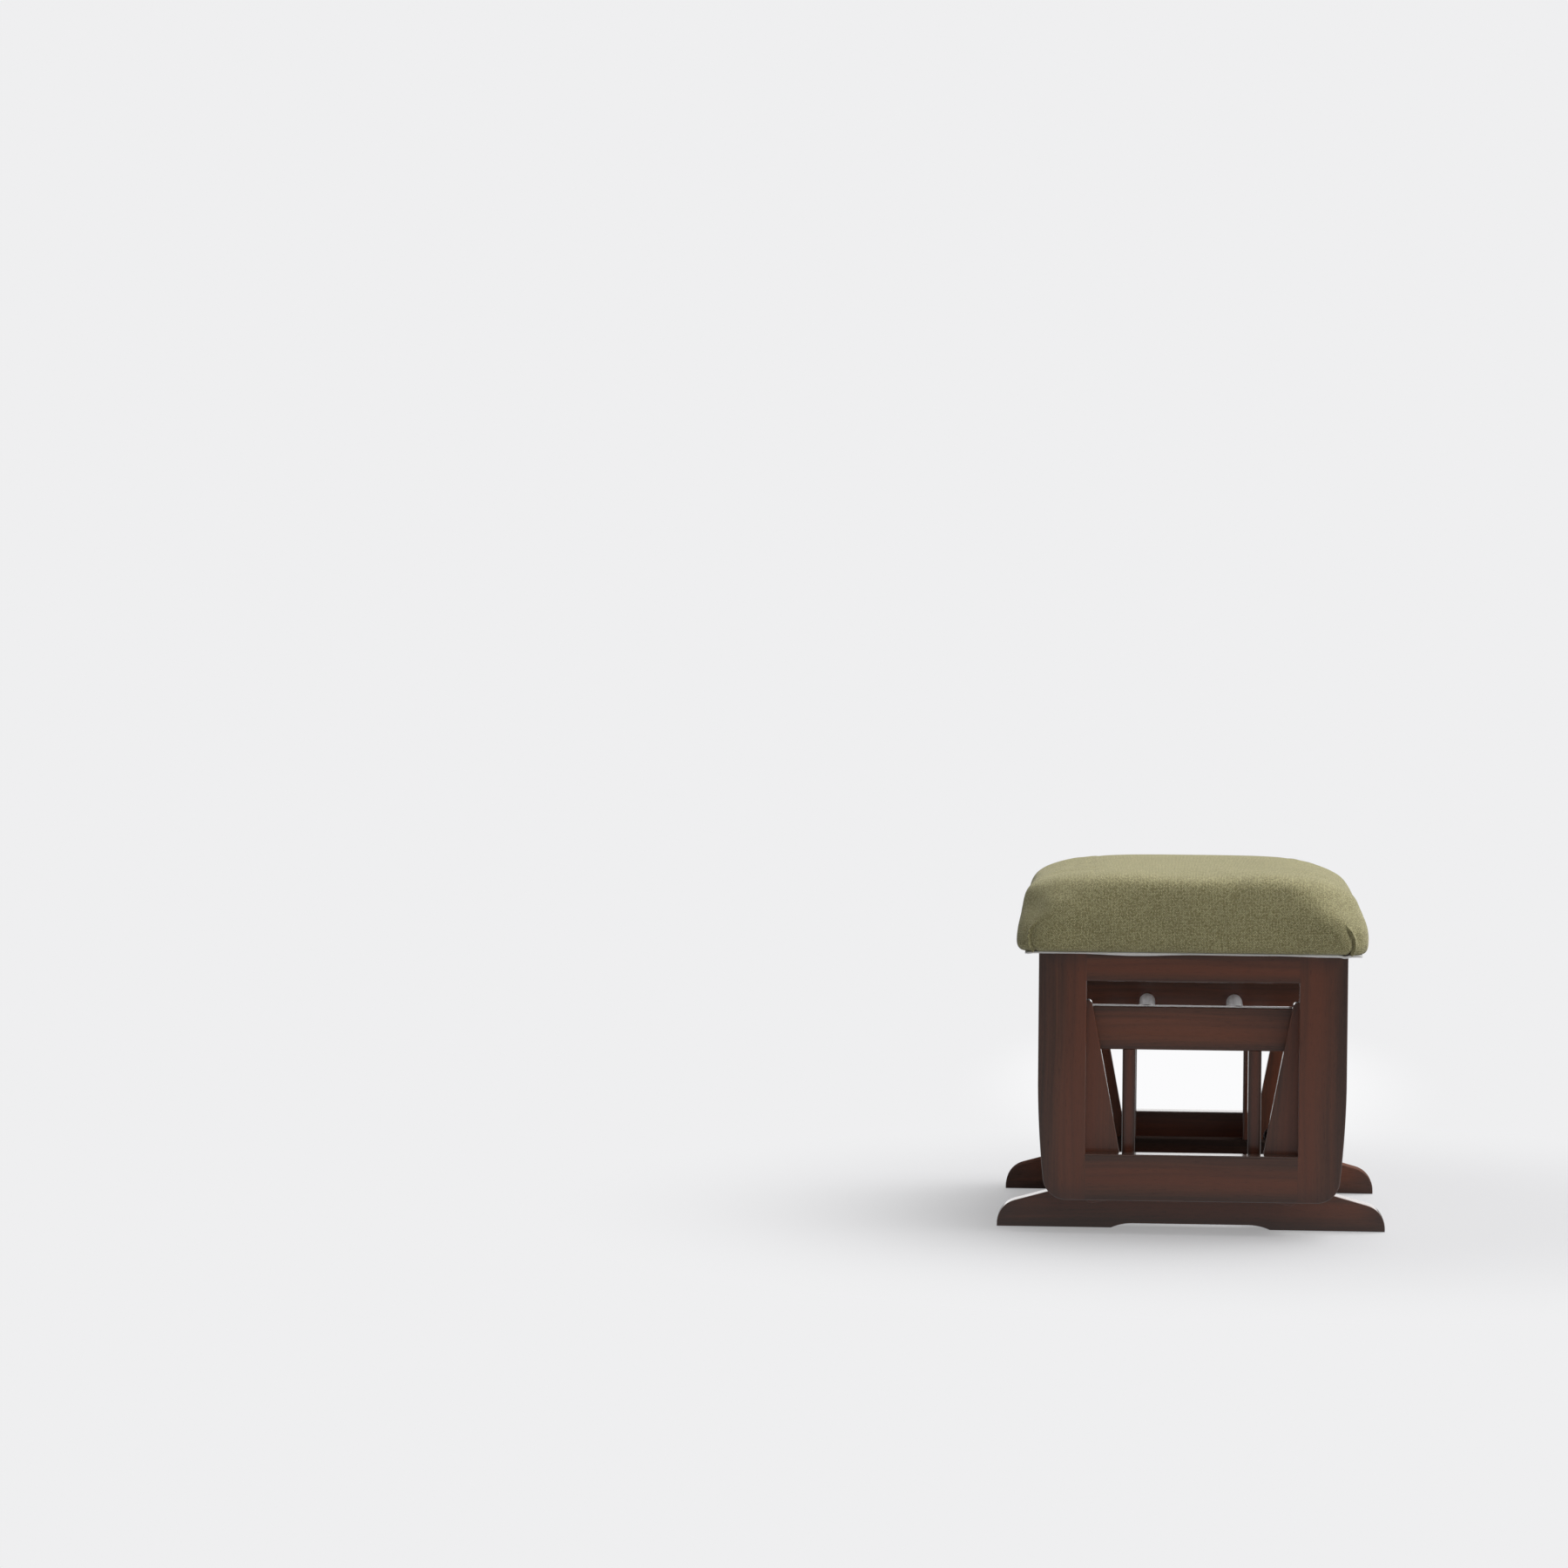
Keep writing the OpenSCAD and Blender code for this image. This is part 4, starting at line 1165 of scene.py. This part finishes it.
def lay_cloth_map(mesh, pleats):
    """A UV map in metres that follows the yarns over the top and down the sides.

    The near side's outline tells how much longer the cloth is than its plan at each
    height. That length is added along the axis whose side the place is nearer to.
    """
    places = coordinates(mesh)
    strip = (np.abs(places[:, 0]) < STRIP_HALF) & (places[:, 1] < 0)
    outline = places[strip][:, 1:]
    centre = np.array([ARC_DEPTH, outline[:, 1].min() + ARC_RISE])
    turn = np.arctan2(-(outline[:, 0] - centre[0]), outline[:, 1] - centre[1])
    order = np.argsort(turn)
    outline = outline[order[turn[order] > -math.pi / 2]]
    gaps = np.hypot(*np.diff(outline, axis=0).T)
    arc = np.concatenate([[0], np.cumsum(gaps)]) + abs(outline[0, 0])
    extra = arc - np.abs(outline[:, 0])
    order = np.argsort(outline[:, 1])
    more = np.interp(places[:, 2], outline[order, 1], extra[order])
    nearness = (np.abs(places[:, :2]) / np.abs(places[:, :2]).max(axis=0)) ** 12 + 1e-9
    weight = nearness / nearness.sum(axis=1, keepdims=True)
    for pleat in pleats:
        away, fade, _ = pleat.measure(places)
        weight[(fade > 0.05) & (away > 0)] = (1, 0)
    cloth = places[:, :2] + np.sign(places[:, :2]) * weight * more[:, None]
    for pleat in pleats:
        away = pleat.measure(places)[0]
        near = pleat.faces(places, PULLED_FROM) & (away < 0)
        pull = np.exp(np.clip(away, None, 0) / YARN_PULL_FADE)
        cloth[:, 1] += np.where(near, pleat.face * YARN_PULL * pull, 0)
    layer = mesh.uv_layers.new(name="Cloth")
    corners = np.empty(len(mesh.loops), int)
    mesh.loops.foreach_get("vertex_index", corners)
    layer.data.foreach_set("uv", cloth[corners].ravel())


# The pleats' creases, as distances from the middle and heights in millimetres.
PLEAT_RIGHT = ((161, 337), (165.5, 331), (170, 323), (171.4, 316), (170.4, 309),
               (167.5, 304))
PLEAT_LEFT = ((165.5, 338), (170, 333.5), (174.5, 327), (176, 318.5), (174.2, 311),
              (170, 304))
# Heights above the cushion's base in millimetres, with its half length there at its left
# and right ends, its half depth there at its near and far sides, and the share by which
# a far or a near corner is pulled in.
REACH_LEFT = ((0, 186), (3, 189.5), (9, 190.2), (15, 190.1), (22, 188.7), (30, 186.7),
              (37, 184.9), (43, 182.9), (49, 181.6), (55, 180.6), (61.6, 178.9), (67, 174.2),
              (71, 167), (75, 156.5), (78, 145.5), (81, 130), (83.2, 110), (84.6, 93),
              (85.3, 76))
REACH_RIGHT = ((0, 184.5), (4, 186), (8, 187.4), (13.5, 187.6), (19, 187.6),
               (26.6, 186), (34, 183.3), (41.6, 179.2), (47, 175.8), (53, 173.4),
               (59, 170), (65.7, 162.6), (71, 152.8), (75, 143), (78, 134.5),
               (80.5, 124), (82.5, 112), (84, 96), (85.2, 76))
DEPTH_NEAR = ((0, 231.5), (3, 235.5), (10, 238), (20, 238), (32, 237.8), (44, 237.2),
              (55, 236), (63, 234.7), (70, 232.8), (74, 230.8), (77.5, 227.8),
              (80, 223.8), (81.7, 219), (83, 212), (84.2, 200), (85, 182), (85.6, 145))
DEPTH_FAR = ((0, 231.5), (3, 235.5), (10, 238), (20, 238), (32, 237), (44, 235),
             (55, 231.5), (63, 226), (69, 218), (73.5, 208.5), (77, 197), (80, 180),
             (82, 160), (83.6, 130), (85, 95))
PULL_FAR = ((0, 0), (42, 0), (50, 0.01), (60, 0.05), (66, 0.095), (72, 0.145),
            (78, 0.185), (82, 0.205), (86, 0.22))
PULL_NEAR = ((0, 0), (38, 0), (50, 0.022), (62, 0.048), (74, 0.062), (86, 0.068))


DEPTH_INNER = 160 * MM
REACH_INNER = 110 * MM


def make_cushion():
    """The cushion: swollen form, corner pleats, waved hem and cloth map."""
    values = settings("cushion")
    low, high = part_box("cushion")
    made = outer_shell("cushion")
    piece = finished_piece(made, "cushion_cover", weighted=False)
    smooth = piece.modifiers.new("Soften", "SUBSURF")
    smooth.levels = smooth.render_levels = 2
    apply_modifiers(piece)
    places = coordinates(piece.data)
    centre = (np.array(low) + np.array(high)) / 2
    half = (np.array(high) - np.array(low)) / 2
    inset = (half - values.start_inset) / half
    set_coordinates(piece.data, centre + (places - centre) * inset)
    remesh = piece.modifiers.new("Cells", "REMESH")
    remesh.mode = "VOXEL"
    remesh.voxel_size = values.voxel
    apply_modifiers(piece)
    swell(piece, low[2])
    set_coordinates(piece.data, fit_box(coordinates(piece.data), low, high))
    finer = piece.modifiers.new("Finer", "SUBSURF")
    finer.levels = finer.render_levels = 1
    apply_modifiers(piece)
    places = fit_box(coordinates(piece.data), low, high)
    for _ in range(2):
        places = fit_profile(places, low[2], 1, DEPTH_INNER, (DEPTH_NEAR, DEPTH_FAR))
        places = fit_profile(places, low[2], 0, REACH_INNER, (REACH_LEFT, REACH_RIGHT))
    places = pull_corners(places, low[2])
    set_coordinates(piece.data, lay_crown(places, high[2]))
    pleats = [CornerPleat(side, face, points)
              for side, points in ((1, PLEAT_RIGHT), (-1, PLEAT_LEFT))
              for face in (-1, 1)]
    refine_near(piece.data, pleats)
    wave_hem(piece.data, low[2])
    press_pleats(piece.data, pleats)
    lay_cloth_map(piece.data, pleats)
    mesh = piece.data
    mesh.polygons.foreach_set("use_smooth", [True] * len(mesh.polygons))
    cloth = material(
        "woven_cover", woven_yarns(),
        {"Pitch": values.pitch, "Light": values.light, "Mid": values.mid,
         "Dark": values.dark},
        lambda s: s.add("ShaderNodeUVMap", uv_map="Cloth").outputs[0],
        bump=0.55, relief=0.35 * MM, Roughness=0.85, Sheen_Weight=values.sheen,
        Sheen_Roughness=0.6, Sheen_Tint=tone(236, 232, 206))
    stand_in(piece, "cushion", cloth)


# Lining

def lining_cloth():
    """The group for thin pressed fibre cloth."""
    tree, s, given, result = effect("Pressed fibres", [("Vector", "Vector"), ("Tone", "Color")],
                                    [("Color", "Color"), ("Height", "Float")])
    fibres = s.noise(given["Vector"], (900, 350, 900), 4, 0.7)
    dots = s.add("ShaderNodeTexVoronoi")
    s.put(dots.inputs["Vector"], given["Vector"])
    dots.inputs["Scale"].default_value = FIBRE_DOTS
    pits = s.step(dots.outputs["Distance"], 0.12, 0.35)
    s.put(result["Color"], s.mix(s.step(fibres, 0.3, 0.8, 0, 0.3), given["Tone"],
                                 tone(190, 188, 184)))
    s.put(result["Height"], s.math("ADD", pits, fibres))
    return tree


# Where the lining's edge sags: the place along it, the width and the depth, all in
# millimetres. Then how far in from the edge a sag reaches, and the edge's own sizes.
LINING_SAGS = ((-177.5, 4.5, 0.8), (162, 4, 1.4))
SAG_REACH = 20 * MM
FOLD_INSET = 0.3 * MM
FOLD_RADIUS = 0.8 * MM
RIM_WIDTH = 12 * MM


def make_lining():
    """The lining: a thin sheet whose free edge hangs and waves."""
    values = settings("lining")
    low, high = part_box("lining")
    half_x, half_y = high[0], high[1]
    made = bmesh.new()
    bmesh.ops.create_grid(made, x_segments=110, y_segments=140, size=1)
    level = (low[2] + high[2]) / 2
    turn = half_y - FOLD_INSET
    full = turn + values.lip
    for vert in made.verts:
        x, along_y = vert.co.x * half_x, vert.co.y * full
        over = max(0, abs(along_y) - turn)
        turned = turn + FOLD_RADIUS * (1 - math.exp(-over / FOLD_RADIUS))
        y = math.copysign(min(abs(along_y), turned), along_y)
        wave = noise.noise(Vector((x * 17, along_y * 3, 0.7))) * values.wave * 2
        drop = over * (0.75 + wave / values.lip)
        rim = max(0, abs(x) - (half_x - RIM_WIDTH)) / RIM_WIDTH
        if x < 0:
            drop += rim ** 2 * 0.3 * (1 * MM + wave)
        for middle, wide, hang in LINING_SAGS:
            near = ((x / MM - middle) / wide) ** 2 + ((abs(y) - half_y) / SAG_REACH) ** 2
            drop += hang * MM * math.exp(-near)
        vert.co = Vector((x, y, level - drop))
    piece = finished_piece(made, "cushion_lining", weighted=False)
    solid = piece.modifiers.new("Thickness", "SOLIDIFY")
    solid.thickness = values.thickness
    solid.offset = 0
    cloth = material("lining_cloth", lining_cloth(), {"Tone": values.white}, bump=0.3,
                     Roughness=0.8, Sheen_Weight=1, Sheen_Roughness=0.3)
    stand_in(piece, "lining", cloth)
    make_staples(low, half_x, half_y)


STAPLE_SIZE = (1.2 * MM, 10 * MM, 0.6 * MM)
STAPLE_ROUND = 0.2 * MM
STAPLE_INSET = 10 * MM
STAPLE_DROP = 0.1 * MM
STAPLE_TURN = 0.12


def make_staples(low, half_x, half_y):
    """Wire staples that hold the lining's two free ends."""
    values = settings("lining")
    count = int((half_y - 2 * STAPLE_INSET) / values.staple_step)
    made = bmesh.new()
    for side in (-1, 1):
        for number in range(-count, count + 1):
            place = Matrix.Translation((side * (half_x - STAPLE_INSET),
                                        number * values.staple_step,
                                        low[2] - STAPLE_DROP))
            turn = Matrix.Rotation(STAPLE_TURN * math.sin(number * 2.3 + side), 4, "Z")
            size = Matrix.Diagonal((*STAPLE_SIZE, 1))
            bmesh.ops.create_cube(made, size=1, matrix=place @ turn @ size)
    round_over(made, made.edges[:], STAPLE_ROUND, 2, clamp=True)
    piece = finished_piece(made, "lining_staples")
    wire = metal("staple_wire", settings("metal").zinc, 0.3)
    piece.data.materials.append(wire)
    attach(piece, "glide_frame")


# Stage

def make_camera():
    """The camera, where the photograph's landmarks put it."""
    values = settings("stage")
    yaw, pitch, roll = values.yaw, values.pitch, values.roll
    forward = Vector((math.sin(yaw) * math.cos(pitch), math.cos(yaw) * math.cos(pitch),
                      math.sin(pitch)))
    level = Vector((math.cos(yaw), -math.sin(yaw), 0))
    above = level.cross(forward)
    right = level * math.cos(roll) + above * math.sin(roll)
    up = above * math.cos(roll) - level * math.sin(roll)
    data = bpy.data.cameras.new("camera")
    data.lens = values.lens
    data.sensor_width = 36
    data.clip_end = 50
    camera = bpy.data.objects.new("camera", data)
    bpy.context.collection.objects.link(camera)
    turn = Matrix((right, up, -forward)).transposed().to_4x4()
    camera.matrix_world = Matrix.Translation(values.camera_place) @ turn
    bpy.context.scene.camera = camera


FLOOR_GAP = 0.3 * MM


def make_floor():
    """A pale floor that keeps the shadow and fades into the backdrop, with a painted pool of
    light on the far floor behind the window.
    """
    values = settings("stage")
    made = bmesh.new()
    bmesh.ops.create_circle(made, cap_ends=True, radius=values.floor_radius, segments=96,
                            matrix=Matrix.Translation((0, 0, -FLOOR_GAP)))
    floor = finished_piece(made, "floor", weighted=False)
    paint = bpy.data.materials.new("floor_paint")
    paint.use_nodes = True
    s = Shader(paint.node_tree)
    surface = paint.node_tree.nodes["Principled BSDF"]
    surface.inputs["Roughness"].default_value = 0.7
    place = s.add("ShaderNodeTexCoord").outputs["Object"]
    paths = s.add("ShaderNodeLightPath")
    s.put(surface.inputs["Base Color"],
          s.mix(paths.outputs["Is Camera Ray"], values.floor_cast, values.floor))
    reach = s.reach(s.vector("SUBTRACT", place, values.shadow_place))
    far = s.step(reach, values.shadow_near, values.shadow_far, values.shadow_fade, 1)
    shown = s.math("MAXIMUM", s.times(far, paths.outputs["Is Camera Ray"]),
                   paths.outputs["Is Glossy Ray"])
    front = s.step(reach, 0.9, 3.0, values.floor_gloss, values.front_gloss)
    polish = s.step(s.split(place)[1], 0.3, 1.0, front, values.back_gloss)
    glow = s.add("ShaderNodeEmission")
    # A painted pool of light: the glow is paler round a spot on the far floor behind the
    # window.
    offset = s.vector("SUBTRACT", place, values.painted_light_pool_place)
    painted_pool_spot = s.reach(s.vector("DIVIDE", offset, values.painted_light_pool_reach))
    s.put(glow.inputs["Color"], s.mix(s.step(painted_pool_spot, 0.5, 1.6), values.bright, values.pale))
    s.put(glow.inputs["Strength"], s.between(paths.outputs["Is Glossy Ray"], 1, polish))
    s.put(paint.node_tree.nodes["Material Output"].inputs["Surface"],
          s.blend(shown, surface.outputs[0], glow.outputs[0]))
    floor.data.materials.append(paint)


def make_light():
    """Soft light from all round and above, and what the camera and polish see."""
    values = settings("stage")
    world = bpy.data.worlds.new("studio")
    bpy.context.scene.world = world
    world.use_nodes = True
    s = Shader(world.node_tree)
    ambient = world.node_tree.nodes["Background"]
    way = s.split(s.add("ShaderNodeTexCoord").outputs["Generated"])
    s.put(ambient.inputs["Color"], (1, 1, 1, 1))
    across = s.step(way[0], -0.55, 0.5, values.shade_side, values.light_side)
    s.put(ambient.inputs["Strength"],
          s.times(across, s.step(way[1], -1.0, 0.1, 1.5, 0.8)))
    paths = s.add("ShaderNodeLightPath")
    backdrop = s.add("ShaderNodeBackground")
    s.put(backdrop.inputs["Color"], values.pale)
    polish = s.add("ShaderNodeBackground")
    sides = s.step(way[1], -0.85, 0.1, values.front_gloss, values.back_gloss)
    s.put(polish.inputs["Strength"], s.step(way[1], 0.8, 0.98, sides, values.rear_gloss))
    lit = s.blend(paths.outputs["Is Glossy Ray"], ambient.outputs[0], polish.outputs[0])
    s.put(world.node_tree.nodes["World Output"].inputs["Surface"],
          s.blend(paths.outputs["Is Camera Ray"], lit, backdrop.outputs[0]))
    lamp = bpy.data.lights.new("overhead", "SUN")
    lamp.energy = values.sun
    lamp.angle = values.sun_size
    overhead = bpy.data.objects.new("overhead", lamp)
    turn = Vector(values.sun_way).to_track_quat("Z", "Y")
    overhead.matrix_world = turn.to_matrix().to_4x4()
    bpy.context.collection.objects.link(overhead)
    bpy.context.scene.view_settings.view_transform = "Standard"


class OTTOMAN_OT_stage(bpy.types.Operator):
    """Make the camera, the floor and the light"""

    bl_idname = "ottoman.stage"
    bl_label = "Stage"

    def execute(self, context):
        make_camera()
        make_floor()
        make_light()
        return {"FINISHED"}


class OTTOMAN_OT_side_frames(bpy.types.Operator):
    """Round and stain the gliding frame's boards"""

    bl_idname = "ottoman.side_frames"
    bl_label = "Side frames and cross rails"

    def execute(self, context):
        make_boards(side_frame_rows())
        return {"FINISHED"}


class OTTOMAN_OT_base(bpy.types.Operator):
    """Round and stain the feet, posts, base rails and stretchers"""

    bl_idname = "ottoman.base"
    bl_label = "Base boards"

    def execute(self, context):
        make_boards(base_rows())
        return {"FINISHED"}


class OTTOMAN_OT_arms(bpy.types.Operator):
    """Round and stain the four arms"""

    bl_idname = "ottoman.arms"
    bl_label = "Arms"

    def execute(self, context):
        make_boards(arm_rows())
        return {"FINISHED"}


class OTTOMAN_OT_hardware(bpy.types.Operator):
    """Soften and finish the tubes, bolts, bearings, screws and inserts"""

    bl_idname = "ottoman.hardware"
    bl_label = "Metal parts"

    def execute(self, context):
        make_hardware()
        return {"FINISHED"}


class OTTOMAN_OT_inner_parts(bpy.types.Operator):
    """Finish the dowels, the plywood board and the foam"""

    bl_idname = "ottoman.inner_parts"
    bl_label = "Dowels, board and foam"

    def execute(self, context):
        make_inner_parts()
        return {"FINISHED"}


class OTTOMAN_OT_cushion(bpy.types.Operator):
    """Make the cushion's cover"""

    bl_idname = "ottoman.cushion"
    bl_label = "Cushion"

    def execute(self, context):
        make_cushion()
        return {"FINISHED"}


class OTTOMAN_OT_lining(bpy.types.Operator):
    """Make the lining and its staples"""

    bl_idname = "ottoman.lining"
    bl_label = "Lining and staples"

    def execute(self, context):
        make_lining()
        return {"FINISHED"}


OPERATORS = (OTTOMAN_OT_stage, OTTOMAN_OT_side_frames, OTTOMAN_OT_base, OTTOMAN_OT_arms,
             OTTOMAN_OT_hardware, OTTOMAN_OT_inner_parts, OTTOMAN_OT_cushion,
             OTTOMAN_OT_lining)


class OTTOMAN_PT_panel(bpy.types.Panel):
    """The ottoman's steps and sizes"""

    bl_idname = "OTTOMAN_PT_panel"
    bl_label = "Glider ottoman"
    bl_space_type = "VIEW_3D"
    bl_region_type = "UI"
    bl_category = "Ottoman"

    def draw(self, context):
        for operator in OPERATORS:
            self.layout.operator(operator.bl_idname)
        for group, kind in GROUPS.items():
            box = self.layout.box()
            box.label(text=group.capitalize())
            for name in kind.__annotations__:
                box.prop(settings(group), name)


def register():
    """Registers the property groups, operators and panel."""
    for group, kind in GROUPS.items():
        bpy.utils.register_class(kind)
        setattr(bpy.types.Scene, f"ottoman_{group}", PointerProperty(type=kind))
    for kind in (*OPERATORS, OTTOMAN_PT_panel):
        bpy.utils.register_class(kind)


def unregister():
    """Takes them out again."""
    for kind in (OTTOMAN_PT_panel, *reversed(OPERATORS)):
        bpy.utils.unregister_class(kind)
    for group, kind in GROUPS.items():
        delattr(bpy.types.Scene, f"ottoman_{group}")
        bpy.utils.unregister_class(kind)


def main():
    """Builds everything in order."""
    register()
    for operator in OPERATORS:
        group, name = operator.bl_idname.split(".")
        getattr(getattr(bpy.ops, group), name)()


if __name__ == "__main__":
    main()
